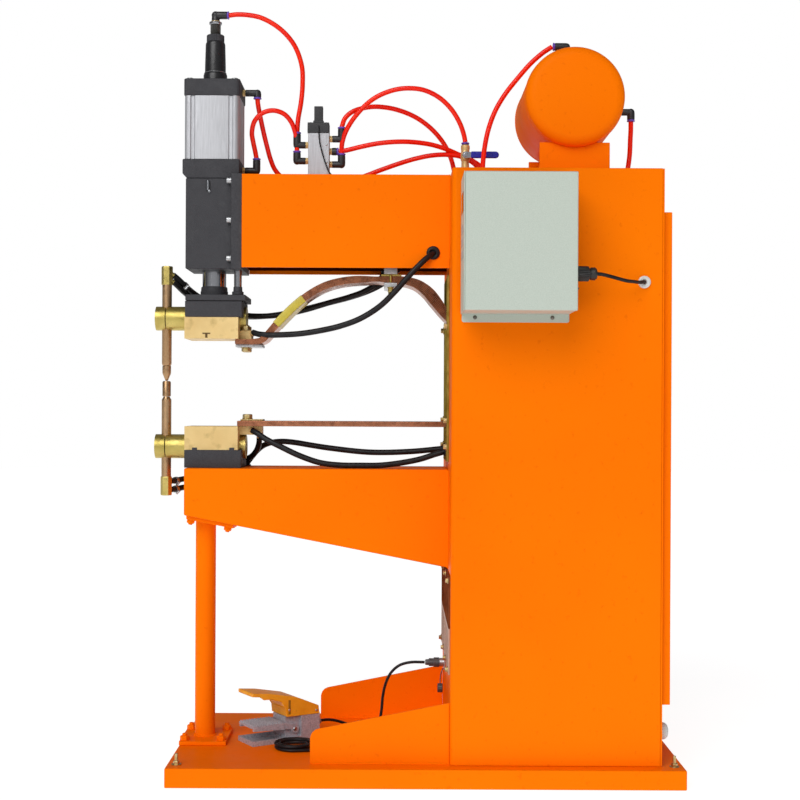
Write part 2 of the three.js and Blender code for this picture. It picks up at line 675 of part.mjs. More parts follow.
function makeTank() {
  const { x, z, radius, halfLength, shell, elbowRise, sidePortZ } = TANK;
  const shellOutline = (inset) => {
    const r = radius - inset;
    const end = halfLength - inset;
    const rim = [[r, end - 22], [r * 0.96, end - 9], [r * 0.85, end - 3], [0, end]];
    const mirrored = rim.map(([reach, height]) => [reach, -height]).reverse();
    return [...mirrored, ...rim];
  };
  const vessel = (inset) => turned(shellOutline(inset), 40).rotateX(Math.PI / 2).translate(x, 0, z);
  const portX = x - 9;
  const portY = -50;
  const portZ = z + radius + elbowRise;
  const topPort = join(
    rod(9, z + radius - 4, portZ, portX, portY, 20),
    rodAlongX(7.5, portX - 28, portX, portY, portZ, 16),
  );
  const sidePort = elbow(x + radius - 3, 427, 0, sidePortZ, -19);
  const tank = cut(
    join(vessel(0), topPort, sidePort),
    vessel(shell),
    rod(3.5, z, portZ, portX, portY, 12),
    rodAlongX(3.5, portX - 40, portX, portY, portZ, 12),
  );
  piece('air_tank', tank, ORANGE);

  const footZ = COLUMN.top + GAP;
  const saddle = (y) => block(x - 70, x + 71, y - 3, y + 3, footZ, 1263);
  const cradle = cut(
    join(saddle(-115), saddle(115), block(x - 55, x + 55, -116, 116, footZ, footZ + 4)),
    rodAlongY(radius + 2 * GAP, -130, 130, x, z, 96),
  );
  piece('tank_cradle', cradle, ORANGE);
}

// ---------------------------------------------------------------- controller

function makeController() {
  const { left, right, front, bottom, top, sheet } = BOX;
  const wallY = -COLUMN.depth / 2 - GAP;
  const back = wallY - 3;
  const { y: rockerY, z: rockerZ } = ROCKER;
  const enclosure = cut(
    join(
      block(left, right, front, back, bottom, top),
      block(left, right - 1, back - 1, wallY, bottom - 15, top + 8),
      rodAlongX(11, right - 1, right + 8, CONNECTOR.y, CONNECTOR.z, 24),
      rodAlongX(13, right + 6, right + 30, CONNECTOR.y, CONNECTOR.z, 24),
      rodAlongX(9, right + 28, right + 43, CONNECTOR.y, CONNECTOR.z, 24),
    ),
    block(left - 1, right - sheet, front + sheet, back - 1, bottom + sheet, top - sheet),
    block(right - 10, right + 2, rockerY - 7, rockerY + 7, rockerZ - 10, rockerZ + 10),
  );
  piece('control_box', enclosure, GREY_PAINT);
  piece('operator_panel',
    block(left - GAP - 2, left - GAP, front, back, bottom, top), STEEL);

  const rocker = plateXZ([
    [right - 4, rockerZ - 8.5], [right + 0.5, rockerZ - 8.5], [right + 3, rockerZ],
    [right + 8, rockerZ + 8], [right - 4, rockerZ + 8],
  ], rockerY - 6, rockerY + 6);
  piece('power_rocker', rocker, RUBBER);
}

// ---------------------------------------------------------------- foot switch and its cord

function makePedal() {
  const pedal = new THREE.Group();
  pedal.position.set(PEDAL.x, PEDAL.y, FLOOR_SHEET);
  pedal.rotation.z = PEDAL.yaw;
  welder.add(pedal);

  const half = PEDAL.length / 2;
  const width = PEDAL.halfWidth;
  const housingHalf = 27.5;
  const sole = cut(
    block(-half, half, -width, width, 0, 10),
    block(-half + 4, -4, -width + 4, width - 4, 3, 11),
  );
  const housing = cut(
    block(0, half, -housingHalf, housingHalf, 5, 52),
    block(4, half - 4, -housingHalf + 4, housingHalf - 4, 10, 60),
  );
  const rearCheeks = block(34, half, -width, width, 5, 52);
  const cavity = block(38, half - 4, -housingHalf + 4, housingHalf - 4, 10, 60);
  const gland = rodAlongX(7, half - 1, half + 19, 0, 28, 16);
  const body = cut(join(sole, housing, rearCheeks, gland), cavity);
  piece('pedal_body', body, PEDAL_GREY, pedal);

  const hood = [
    [0, 52.3], [half, 52.3], [half - 2, 69], [20, 92], [-40, 104], [-78, 108], [-78, 101],
    [-62, 99], [-52, 92], [-34, 91.5], [-12, 84], [-2, 70],
  ];
  const hollow = [
    [4, 40], [half - 4, 40], [half - 5, 66.5], [19, 88.6], [-40, 100.6], [-76, 104.2], [-90, 60],
    [-4, 60], [-4, 89], [4, 84],
  ];
  const guard = cut(
    plateXZ(hood, -width, width),
    plateXZ(hollow, -width + 3, width - 3),
  );
  piece('pedal_guard', guard, PEDAL_YELLOW, pedal);

  const pivotX = 20;
  const pivotZ = 26;
  const skirt = (y0, y1) => join(
    plateXZ([[-75, 30], [20, 26], [26, 33], [0, 40], [-75, 39]], y0, y1),
    rodAlongY(9, y0, y1, pivotX, pivotZ, 24),
  );
  const treadle = join(
    block(-76, -2, -33.5, 33.5, 35, 39.5),
    skirt(28, 33.5),
    skirt(-33.5, -28),
  );
  piece('treadle', treadle, PEDAL_GREY, pedal);
}

function makePedalCord() {
  const lying = FLOOR_SHEET + CORD_RADIUS + 0.2;
  const exitX = PEDAL.x + (PEDAL.length / 2 + 19.4) * Math.cos(PEDAL.yaw);
  const exitY = PEDAL.y + (PEDAL.length / 2 + 19.4) * Math.sin(PEDAL.yaw);
  const run = [
    [exitX, exitY, FLOOR_SHEET + 28], [exitX + 17, exitY + 10.6, 66], [-183, 64, 62], [-158, 73, 52],
    [-133, 75, lying + 2], [-108, 66, lying], [-92, 44, lying], [-90, 14, lying], [-100, -18, lying],
    [-121, -50, lying], [-152, -76, lying], [-188, -91, lying], [-210, -96.5, lying],
    [-228.4, -99, lying],
  ];
  piece('pedal_cord_run', hose(run, CORD_RADIUS, 14), RUBBER);

  const ring = turned([
    [COIL.inner, FLOOR_SHEET + GAP], [COIL.outer, FLOOR_SHEET + GAP],
    [COIL.outer, FLOOR_SHEET + GAP + COIL.height], [COIL.inner, FLOOR_SHEET + GAP + COIL.height],
    [COIL.inner, FLOOR_SHEET + GAP],
  ], 32).translate(COIL.x, COIL.y, 0);
  piece('pedal_cord_coil', ring, RUBBER);

  const tail = [
    [-224.5, -62, lying], [-206, -58, lying], [-180, -48, lying], [-156, -30, lying],
    [-138, -8, lying], [-120, 12, lying], [-104, 26, 46], [-92, 34, 62], [-86, 38, 90],
    [-84.5, 40, 120], [-79, 40, 148], [-68, 40, 171], [-50, 40, 186], [-27, 40, 191.5],
    [3.4, 40, SOCKET.z],
  ];
  piece('pedal_cord_tail', hose(tail, CORD_RADIUS, 14), RUBBER);

  const face = COLUMN.left - GAP;
  const socket = join(
    block(face - 3, face, SOCKET.y - 14, SOCKET.y + 14, SOCKET.z - 14, SOCKET.z + 14),
    rodAlongX(9, face - 12, face - 2, SOCKET.y, SOCKET.z, 24),
  );
  piece('pedal_socket', socket, STEEL);

  const plugEnd = face - 12 - GAP;
  const plug = join(
    rodAlongX(10, plugEnd - 12, plugEnd, SOCKET.y, SOCKET.z, 24),
    rodAlongX(8, plugEnd - 24, plugEnd - 11, SOCKET.y, SOCKET.z, 24),
    rodAlongX(6, 4, plugEnd - 23, SOCKET.y, SOCKET.z, 16),
  );
  piece('pedal_plug', plug, STEEL);
}

// ---------------------------------------------------------------- assembly

makeBase();
makeColumn();
makeRearDoor();
makeWings();
makeUpperArm();
makeLowerArm();
makePillar();
makeHead();
makeCylinder();
makeRetractSet();
makeRam();
makeUpperElectrode();
makeLowerElectrode();
makeSecondaryCircuit();
makeTransformer();
makeSolenoidValve();
makeBallValve();
makeTank();
makeController();
makePedal();
makePedalCord();

export default welder;
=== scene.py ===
"""Looks of a floor-standing pneumatic spot welder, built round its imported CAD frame.

Lengths are in millimetres, and each mesh is scaled to metres when it is made. +Z is up, the operator
stands at -X, the service door is at +X and the controller hangs on the -Y side, which faces the camera.
"""

import json
import math
from itertools import product

import bmesh
import bpy
from mathutils import Matrix, Vector


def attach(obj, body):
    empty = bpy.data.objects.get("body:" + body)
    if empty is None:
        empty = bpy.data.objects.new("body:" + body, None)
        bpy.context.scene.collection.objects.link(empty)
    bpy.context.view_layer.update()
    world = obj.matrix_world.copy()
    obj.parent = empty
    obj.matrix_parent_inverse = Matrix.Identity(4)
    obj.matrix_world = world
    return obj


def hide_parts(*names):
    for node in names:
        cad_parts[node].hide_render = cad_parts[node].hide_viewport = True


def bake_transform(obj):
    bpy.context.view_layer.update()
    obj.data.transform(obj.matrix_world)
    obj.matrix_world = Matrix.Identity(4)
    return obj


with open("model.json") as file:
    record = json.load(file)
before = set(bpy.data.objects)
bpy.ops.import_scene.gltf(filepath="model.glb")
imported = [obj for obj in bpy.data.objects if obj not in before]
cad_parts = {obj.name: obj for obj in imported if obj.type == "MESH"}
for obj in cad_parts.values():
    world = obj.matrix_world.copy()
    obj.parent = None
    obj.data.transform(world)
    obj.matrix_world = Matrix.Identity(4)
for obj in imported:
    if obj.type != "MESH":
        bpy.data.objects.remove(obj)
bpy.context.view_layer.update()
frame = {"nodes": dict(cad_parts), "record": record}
NODES = frame["nodes"]

MM = 0.001
SAME_POINT = 2e-6                    # metres
SAME_PLANE = math.radians(0.6)
UP, DOWN = Vector((0, 0, 1)), Vector((0, 0, -1))
LEFT, RIGHT = Vector((-1, 0, 0)), Vector((1, 0, 0))
FRONT, BACK = Vector((0, -1, 0)), Vector((0, 1, 0))

HEAD_X = -440
HEAD_AXIS = (HEAD_X, 0, 0)           # foot of the vertical axis of the cylinder and the ram
GUIDE_AXIS = (-386.3, -42, 0)        # and of the guide rod beside the ram
ELECTRODE_AXIS = (-538.5, 0, 0)      # and of the electrodes
BASE_TOP = 38
COLUMN_TOP = 1195
COLUMN_LEFT = 47
COLUMN_FRONT = -220
PEDAL = Matrix.Translation((-300, -6, 38.3)) @ Matrix.Rotation(math.radians(32), 4, "Z")


# ---------------------------------------------------------------- camera, light and floor


def make_camera():
    """A long lens at half the machine's height, square to its side and a hair off level."""
    data = bpy.data.cameras.new("camera")
    data.lens = 64.2
    data.sensor_width = 36
    data.shift_x = 0.00625
    data.shift_y = 0.00875
    camera = bpy.data.objects.new("camera", data)
    camera.location = (-0.062, -2.976, 0.731)
    camera.rotation_euler = (math.pi / 2, math.radians(-0.28), 0)
    bpy.context.scene.collection.objects.link(camera)
    bpy.context.scene.camera = camera


def make_world():
    """White to the eye, and a soft studio for the lighting: bright from the front, darker to the sides."""
    world = bpy.data.worlds.new("studio")
    bpy.context.scene.world = world
    world.use_nodes = True
    nodes, links = world.node_tree.nodes, world.node_tree.links
    nodes.clear()
    output = nodes.new("ShaderNodeOutputWorld")
    mixed = nodes.new("ShaderNodeMixShader")
    seen = nodes.new("ShaderNodeBackground")
    light = nodes.new("ShaderNodeBackground")
    path = nodes.new("ShaderNodeLightPath")
    place = nodes.new("ShaderNodeTexCoord")
    axes = nodes.new("ShaderNodeSeparateXYZ")
    ramp = nodes.new("ShaderNodeValToRGB")
    span = nodes.new("ShaderNodeMapRange")
    seen.inputs["Strength"].default_value = 1.0
    seen.inputs["Color"].default_value = (1, 1, 1, 1)
    light.inputs["Strength"].default_value = 0.42
    span.inputs["From Min"].default_value = -1
    ramp.color_ramp.elements[0].color = (0.95, 0.95, 0.96, 1)
    ramp.color_ramp.elements[1].color = (0.5, 0.5, 0.51, 1)
    ramp.color_ramp.elements[1].position = 0.62
    ramp.color_ramp.elements.new(0.4).color = (0.16, 0.16, 0.165, 1)
    links.new(place.outputs["Generated"], axes.inputs[0])
    links.new(axes.outputs["Y"], span.inputs["Value"])
    links.new(span.outputs["Result"], ramp.inputs["Fac"])
    links.new(ramp.outputs["Color"], light.inputs["Color"])
    links.new(path.outputs["Is Camera Ray"], mixed.inputs["Fac"])
    links.new(light.outputs[0], mixed.inputs[1])
    links.new(seen.outputs[0], mixed.inputs[2])
    links.new(mixed.outputs[0], output.inputs["Surface"])


def make_lights():
    """A broad key from the upper left of the camera."""
    key = bpy.data.lights.new("key", "SUN")
    key.energy = 1.72
    key.angle = math.radians(46)
    lamp = bpy.data.objects.new("key", key)
    lamp.rotation_euler = Vector((0.34, 0.8, -0.6)).to_track_quat("-Z", "Y").to_euler()
    bpy.context.scene.collection.objects.link(lamp)


def make_floor():
    bpy.ops.mesh.primitive_circle_add(vertices=96, radius=14, fill_type="NGON", location=(0, 0, 0))
    floor = bpy.context.object
    floor.name = "floor"
    paper = Look("backlit_floor", (0.36, 0.36, 0.36), 0.9, specular=0.0)
    paper.vary_color(paper.noise(3, 2), (0.35, 0.35, 0.35), (0.37, 0.37, 0.37))
    paper.bsdf.inputs["Emission Color"].default_value = (1, 1, 1, 1)
    paper.bsdf.inputs["Emission Strength"].default_value = 0.87
    floor.data.materials.append(paper.material)


# ---------------------------------------------------------------- materials


class Look:
    """A Principled material whose textures are laid in the object's own space, in metres."""

    def __init__(self, name, color, roughness, metallic=0.0, specular=0.5):
        self.material = bpy.data.materials.new(name)
        self.material.use_nodes = True
        self.nodes = self.material.node_tree.nodes
        self.links = self.material.node_tree.links
        self.bsdf = self.nodes["Principled BSDF"]
        self.bsdf.inputs["Base Color"].default_value = (*color, 1)
        self.bsdf.inputs["Roughness"].default_value = roughness
        self.bsdf.inputs["Metallic"].default_value = metallic
        self.bsdf.inputs["Specular IOR Level"].default_value = specular
        self.place = self.nodes.new("ShaderNodeTexCoord").outputs["Object"]
        self.normal = None

    def stretched(self, scale):
        mapping = self.nodes.new("ShaderNodeMapping")
        mapping.inputs["Scale"].default_value = scale
        self.links.new(self.place, mapping.inputs["Vector"])
        return mapping.outputs["Vector"]

    def noise(self, scale, detail=3, stretch=(1, 1, 1)):
        node = self.nodes.new("ShaderNodeTexNoise")
        node.inputs["Scale"].default_value = scale
        node.inputs["Detail"].default_value = detail
        self.links.new(self.stretched(stretch), node.inputs["Vector"])
        return node.outputs["Fac"]

    def cells(self, scale):
        node = self.nodes.new("ShaderNodeTexVoronoi")
        node.inputs["Scale"].default_value = scale
        self.links.new(self.place, node.inputs["Vector"])
        return node.outputs["Distance"]

    def waves(self, scale, direction, distortion=0.0):
        node = self.nodes.new("ShaderNodeTexWave")
        node.bands_direction = direction
        node.inputs["Scale"].default_value = scale
        node.inputs["Distortion"].default_value = distortion
        self.links.new(self.place, node.inputs["Vector"])
        return node.outputs["Fac"]

    def ramp(self, source, low, high, start, stop):
        node = self.nodes.new("ShaderNodeValToRGB")
        node.color_ramp.elements[0].position = start
        node.color_ramp.elements[1].position = stop
        node.color_ramp.elements[0].color = (*low, 1)
        node.color_ramp.elements[1].color = (*high, 1)
        self.links.new(source, node.inputs["Fac"])
        return node.outputs["Color"]

    def vary_color(self, source, low, high):
        self.links.new(self.ramp(source, low, high, 0.3, 0.7), self.bsdf.inputs["Base Color"])

    def stain(self, source, color, start, stop):
        """Mixes another colour over the base colour where the source runs from start to stop."""
        socket = self.bsdf.inputs["Base Color"]
        mix = self.nodes.new("ShaderNodeMix")
        mix.data_type = "RGBA"
        self.links.new(socket.links[0].from_socket, mix.inputs[6])
        mix.inputs[7].default_value = (*color, 1)
        self.links.new(self.ramp(source, (0, 0, 0), (1, 1, 1), start, stop), mix.inputs[0])
        self.links.new(mix.outputs[2], socket)

    def vary_roughness(self, source, low, high):
        span = self.nodes.new("ShaderNodeMapRange")
        span.inputs["From Min"].default_value = 0.3
        span.inputs["From Max"].default_value = 0.7
        span.inputs["To Min"].default_value = low
        span.inputs["To Max"].default_value = high
        self.links.new(source, span.inputs["Value"])
        self.links.new(span.outputs["Result"], self.bsdf.inputs["Roughness"])

    def bump(self, source, strength, distance):
        node = self.nodes.new("ShaderNodeBump")
        node.inputs["Strength"].default_value = strength
        node.inputs["Distance"].default_value = distance
        self.links.new(source, node.inputs["Height"])
        if self.normal:
            self.links.new(self.normal, node.inputs["Normal"])
        self.normal = node.outputs["Normal"]
        self.links.new(self.normal, self.bsdf.inputs["Normal"])


def orange_powder_coat():
    look = Look("orange_powder_coat", (1.0, 0.19, 0.0), 0.42, specular=0.03)
    look.vary_color(look.noise(2.2, 3), (1.0, 0.172, 0.0), (1.0, 0.2, 0.0))
    look.stain(look.noise(90, 5), (0.8, 0.11, 0.0), 0.62, 0.95)
    look.vary_roughness(look.noise(14, 4), 0.34, 0.5)
    look.bump(look.noise(420, 2), 0.16, 0.0004)
    return look


def black_texture_coat():
    look = Look("black_texture_coat", (0.042, 0.042, 0.048), 0.55, specular=0.3)
    look.vary_color(look.noise(900, 2), (0.028, 0.028, 0.032), (0.06, 0.059, 0.066))
    look.stain(look.noise(35, 4), (0.075, 0.075, 0.08), 0.6, 0.9)
    look.vary_roughness(look.noise(60, 3), 0.48, 0.66)
    look.bump(look.cells(850), 0.45, 0.0006)
    return look


def hard_chrome():
    look = Look("hard_chrome", (0.5, 0.51, 0.54), 0.12, 1.0)
    look.vary_roughness(look.noise(40, 2, (1, 1, 60)), 0.08, 0.2)
    look.bump(look.noise(120, 2, (0.3, 0.3, 12)), 0.05, 0.0002)
    return look


def anodised_aluminium():
    look = Look("anodised_aluminium", (0.5, 0.51, 0.53), 0.5, 0.6)
    look.vary_color(look.noise(500, 2, (1, 1, 0.05)), (0.45, 0.455, 0.475), (0.55, 0.555, 0.58))
    look.vary_roughness(look.noise(300, 2, (1, 1, 0.03)), 0.42, 0.56)
    look.bump(look.noise(900, 2, (1, 1, 0.02)), 0.12, 0.0002)
    return look


def milled_brass():
    look = Look("milled_brass", (0.76, 0.54, 0.22), 0.46, 0.35)
    look.vary_color(look.noise(11, 4), (0.66, 0.45, 0.17), (0.85, 0.63, 0.28))
    look.stain(look.noise(38, 6), (0.36, 0.24, 0.06), 0.56, 0.85)
    look.vary_roughness(look.noise(50, 4), 0.32, 0.58)
    look.bump(look.noise(700, 2, (0.06, 1, 1)), 0.12, 0.0003)
    return look


def darkened_brass():
    look = Look("darkened_brass", (0.5, 0.39, 0.1), 0.38, 0.9)
    look.vary_color(look.noise(16, 4), (0.4, 0.31, 0.07), (0.66, 0.53, 0.17))
    look.stain(look.noise(70, 5), (0.16, 0.11, 0.04), 0.6, 0.85)
    look.vary_roughness(look.noise(60, 4), 0.26, 0.5)
    look.bump(look.noise(500, 2, (8, 0.3, 0.3)), 0.1, 0.0003)
    return look


def bare_copper():
    look = Look("bare_copper", (0.42, 0.15, 0.075), 0.3, 0.9)
    look.vary_color(look.noise(14, 4), (0.3, 0.1, 0.045), (0.54, 0.22, 0.12))
    look.stain(look.noise(45, 6), (0.15, 0.05, 0.03), 0.54, 0.82)
    look.vary_roughness(look.noise(70, 3), 0.18, 0.4)
    look.bump(look.noise(600, 2, (0.1, 1, 1)), 0.1, 0.0003)
    return look


def heat_browned_copper():
    look = Look("heat_browned_copper", (0.46, 0.28, 0.14), 0.36, 0.9)
    look.vary_color(look.noise(12, 4, (1, 1, 0.6)), (0.37, 0.21, 0.1), (0.6, 0.4, 0.22))
    look.stain(look.noise(60, 5), (0.13, 0.07, 0.04), 0.58, 0.85)
    look.vary_roughness(look.noise(90, 3), 0.26, 0.48)
    look.bump(look.noise(400, 2, (1, 1, 6)), 0.08, 0.0003)
    return look


def zinc_plate(name="zinc_plate", low=(0.42, 0.43, 0.44), high=(0.6, 0.61, 0.62)):
    look = Look(name, high, 0.36, 0.95)
    look.vary_color(look.noise(120, 3), low, high)
    look.vary_roughness(look.noise(220, 3), 0.28, 0.46)
    look.bump(look.noise(900, 2), 0.08, 0.0002)
    return look


def laminate(name, low, high, gloss):
    look = Look(name, high, gloss, specular=0.0)
    look.vary_color(look.noise(60, 4, (1, 0.3, 1)), low, high)
    look.stain(look.noise(8, 3), low, 0.55, 0.9)
    look.bump(look.waves(420, "Y", 1.5), 0.06, 0.0002)
    return look


def grey_enamel():
    look = Look("grey_enamel", (0.5, 0.56, 0.49), 0.5)
    look.vary_color(look.noise(600, 2), (0.47, 0.535, 0.465), (0.55, 0.61, 0.54))
    look.vary_roughness(look.noise(30, 3), 0.44, 0.58)
    look.bump(look.cells(520), 0.22, 0.0005)
    return look


def hammered_grey():
    look = Look("hammered_grey", (0.42, 0.42, 0.46), 0.42, 0.2)
    look.vary_color(look.noise(260, 3), (0.33, 0.33, 0.37), (0.54, 0.54, 0.58))
    look.vary_roughness(look.noise(180, 3), 0.34, 0.6)
    look.bump(look.cells(330), 0.4, 0.0008)
    return look


def guard_yellow():
    look = Look("guard_yellow", (0.93, 0.4, 0.012), 0.4)
    look.vary_color(look.noise(40, 3), (0.86, 0.34, 0.01), (0.96, 0.43, 0.02))
    look.stain(look.noise(120, 5), (0.6, 0.22, 0.01), 0.62, 0.95)
    look.bump(look.noise(380, 2), 0.2, 0.0004)
    return look


def black_rubber():
    look = Look("black_rubber_jacket", (0.01, 0.01, 0.011), 0.42, specular=0.24)
    look.vary_color(look.noise(70, 4), (0.006, 0.006, 0.007), (0.016, 0.016, 0.018))
    look.vary_roughness(look.noise(110, 3), 0.3, 0.52)
    look.bump(look.noise(700, 2), 0.12, 0.0003)
    return look


def red_polyurethane():
    look = Look("red_polyurethane", (1.0, 0.012, 0.0), 0.25, specular=0.3)
    look.vary_color(look.noise(25, 3), (0.9, 0.008, 0.0), (1.0, 0.022, 0.0))
    look.vary_roughness(look.noise(90, 2), 0.16, 0.3)
    return look


def plastic(name, color, roughness, grain=600, depth=0.1):
    look = Look(name, color, roughness)
    dark = tuple(c * 0.8 for c in color)
    look.vary_color(look.noise(80, 3), dark, color)
    look.vary_roughness(look.noise(150, 3), roughness * 0.8, min(roughness * 1.25, 1))
    look.bump(look.noise(grain, 2), depth, 0.0003)
    return look


# Painted shade: near-black red-brown that stands for the deep shadow inside the upper arm's recessed
# underside.
def painted_recess_shade():
    look = Look("painted_recess_shade", (0.03, 0.003, 0.001), 0.95, specular=0.0)
    look.vary_color(look.noise(80, 3), (0.022, 0.002, 0.0005), (0.045, 0.005, 0.001))
    return look


def stacked_steel():
    look = Look("stacked_steel", (0.1, 0.1, 0.11), 0.5, 0.8)
    look.vary_color(look.waves(900, "X", 0.2), (0.05, 0.05, 0.055), (0.14, 0.145, 0.155))
    look.stain(look.noise(25, 5), (0.16, 0.07, 0.035), 0.6, 0.9)
    look.bump(look.waves(900, "X", 0.2), 0.3, 0.0004)
    return look


# The looks by the record's material slots, and then the ones that have no slot of their own.
LOOKS = {
    "orange_paint": orange_powder_coat(),
    "black_coating": black_texture_coat(),
    "chrome_steel": hard_chrome(),
    "cast_aluminium": anodised_aluminium(),
    "brass_block": milled_brass(),
    "aged_brass": darkened_brass(),
    "copper": bare_copper(),
    "electrode_copper": heat_browned_copper(),
    "plated_steel": zinc_plate(),
    "core_laminations": stacked_steel(),
    "olive_laminate": laminate("olive_laminate", (0.2, 0.14, 0.02), (0.36, 0.27, 0.06), 0.5),
    "brown_laminate": laminate("brown_laminate", (0.13, 0.035, 0.015), (0.25, 0.085, 0.035), 0.45),
    "grey_enamel": grey_enamel(),
    "pedal_grey": hammered_grey(),
    "pedal_yellow": guard_yellow(),
    "black_rubber": black_rubber(),
    "red_hose": red_polyurethane(),
    "blue_grip": plastic("blue_vinyl", (0.005, 0.006, 0.42), 0.3),
    "dark_plastic": plastic("dark_plastic", (0.022, 0.022, 0.024), 0.38),
    "yellow_zinc": zinc_plate("yellow_zinc", (0.5, 0.36, 0.13), (0.68, 0.56, 0.3)),
    "dull_zinc": zinc_plate("dull_zinc", (0.1, 0.095, 0.08), (0.24, 0.22, 0.19)),
    "painted_recess_shade": painted_recess_shade(),
}
# Small smooth parts: colour and roughness, and the grain and depth of the bump where they aren't the usual.
SMALL_PARTS = {
    "violet_ring": ((0.16, 0.07, 0.55), 0.35),
    "white_nylon": ((0.72, 0.72, 0.7), 0.4),
    "beige_louvre": ((0.56, 0.36, 0.25), 0.5),
    "gunmetal": ((0.07, 0.07, 0.072), 0.3),
    "yellow_sleeve": ((0.62, 0.5, 0.05), 0.32, 240, 0.25),
    # Painted shade: the next entry is a near-black sheet laid in the indicator pin's slot for the shadow
    # inside it.
    "painted_slot_shade": ((0.006, 0.006, 0.007), 0.6),
    "display_window": ((0.01, 0.014, 0.02), 0.12),
    "membrane": ((0.4, 0.45, 0.46), 0.45),
    # Painted shade: the next entry darkens thin strips along the foot switch guard for the shadow in its
    # grooves.
    "painted_groove_shade": ((0.34, 0.15, 0.012), 0.5),
    "slot_shadow": ((0.12, 0.06, 0.008), 0.6),
    "black_oxide": ((0.016, 0.016, 0.018), 0.3),
    "phosphated_steel": ((0.05, 0.048, 0.042), 0.38),
    "connector_shell": ((0.02, 0.02, 0.019), 0.42, 900, 0.3),
}
LOOKS.update({name: plastic(name, *values) for name, values in SMALL_PARTS.items()})


# ---------------------------------------------------------------- mesh making


def box(bm, lo, hi):
    """A box between two corners."""
    v = [bm.verts.new(Vector(corner) * MM) for corner in product(*zip(lo, hi))]
    for face in ((0, 1, 3, 2), (4, 6, 7, 5), (0, 4, 5, 1), (2, 3, 7, 6), (0, 2, 6, 4), (1, 5, 7, 3)):
        bm.faces.new([v[i] for i in face])


def lathe(bm, profile, origin, direction=UP, sides=64, ribs=0, rib_depth=0.0):
    """A turned solid: its profile is pairs of radius and height from end to end. Ribs make its rim wavy."""
    turn = direction.to_track_quat("Z", "Y").to_matrix()

    def vertex(radius, height, angle):
        waved = radius * (1 + rib_depth * math.cos(ribs * angle))
        rim = Vector((waved * math.cos(angle), waved * math.sin(angle), height))
        return bm.verts.new((Vector(origin) + turn @ rim) * MM)

    rings = []
    for radius, height in profile:
        count = sides if radius > 0 else 1
        rings.append([vertex(radius, height, 2 * math.pi * i / sides) for i in range(count)])
    for low, high in zip(rings, rings[1:]):
        for i in range(sides):
            j = (i + 1) % sides
            corners = [low[i % len(low)], low[j % len(low)], high[j % len(high)], high[i % len(high)]]
            unique = list(dict.fromkeys(corners))
            if len(unique) > 2:
                bm.faces.new(unique)


def prism(bm, outline, lo, hi, axis="Y", placed=None):
    """An outline pushed along one axis: its points are in the two other axes, in X, Y, Z order."""
    first, second, along = {"X": (1, 2, 0), "Y": (0, 2, 1), "Z": (0, 1, 2)}[axis]

    def vertex(point, depth):
        co = Vector((0, 0, 0))
        co[first], co[second], co[along] = point[0], point[1], depth
        return bm.verts.new((placed @ co if placed else co) * MM)

    ends = [[vertex(p, depth) for p in outline] for depth in (lo, hi)]
    bm.faces.new(ends[0])
    bm.faces.new(ends[1][::-1])
    for i in range(len(outline)):
        j = (i + 1) % len(outline)
        bm.faces.new((ends[0][i], ends[0][j], ends[1][j], ends[1][i]))


def disc(radius, low, high):
    """The profile of a plain cylinder."""
    return [(0, low), (radius, low), (radius, high), (0, high)]


def ring(inner, outer, low, high):
    """The profile of a plain ring."""
    return [(inner, low), (outer, low), (outer, high), (inner, high), (inner, low)]


def ball(radius):
    """The profile of a ball."""
    turns = [math.radians(angle) for angle in range(0, 181, 15)]
    return [(radius * math.sin(a), -radius * math.cos(a)) for a in turns]


def arc(centre, radius, start, stop, steps):
    """Points on an arc, with its angles in degrees."""
    angles = [math.radians(start + (stop - start) * i / steps) for i in range(steps + 1)]
    return [(centre[0] + radius * math.cos(a), centre[1] + radius * math.sin(a)) for a in angles]


def rounded(x0, x1, y0, y1, radius, steps=5):
    """The outline of a rectangle with round corners."""
    left, right, low, high = x0 + radius, x1 - radius, y0 + radius, y1 - radius
    centres = ((right, high), (left, high), (left, low), (right, low))
    corners = [arc(centre, radius, 90 * i, 90 * i + 90, steps) for i, centre in enumerate(centres)]
    return sum(corners, [])


def smooth_path(points, spacing=4.0):
    """Points a few millimetres apart on a centripetal Catmull-Rom curve through the given ones."""
    given = [Vector(p) for p in points]
    reach = [2 * given[0] - given[1], *given, 2 * given[-1] - given[-2]]
    path = []
    for four in zip(reach, reach[1:], reach[2:], reach[3:]):
        knots = [0.0]
        for a, b in zip(four, four[1:]):
            knots.append(knots[-1] + math.sqrt((b - a).length))
        count = max(2, round((four[2] - four[1]).length / spacing))
        for i in range(count):
            path.append(catmull_rom(four, knots, knots[1] + (knots[2] - knots[1]) * i / count))
    return [*path, given[-1]]


def catmull_rom(four, knots, t):
    """The curve's point at t, by repeated linear blends between four points."""
    level = list(four)
    for depth in (1, 2, 3):
        blended = []
        for i in range(4 - depth):
            lo = max(i, 1) if depth == 3 else i
            hi = min(i + depth, 2) if depth == 3 else i + depth
            share = (t - knots[lo]) / (knots[hi] - knots[lo])
            blended.append(level[i].lerp(level[i + 1], share))
        level = blended
    return level[0]


def sweep(bm, path, section, across=None):
    """A section carried along a path. across keeps its first axis fixed, as for a flat band."""
    side = across or (path[1] - path[0]).orthogonal().normalized()
    rings = []
    for i, at in enumerate(path):
        along = (path[min(i + 1, len(path) - 1)] - path[max(i - 1, 0)]).normalized()
        side = across or (side - along * side.dot(along)).normalized()
        out = along.cross(side).normalized()
        points = section(i / (len(path) - 1)) if callable(section) else section
        rings.append([bm.verts.new((at + side * a + out * b) * MM) for a, b in points])
    count = len(rings[0])
    for low, high in zip(rings, rings[1:]):
        for i in range(count):
            j = (i + 1) % count
            bm.faces.new((low[i], low[j], high[j], high[i]))
    bm.faces.new(rings[0][::-1])
    bm.faces.new(rings[-1])


def circle(radius, sides=20):
    turns = [2 * math.pi * i / sides for i in range(sides)]
    return [(radius * math.cos(a), radius * math.sin(a)) for a in turns]


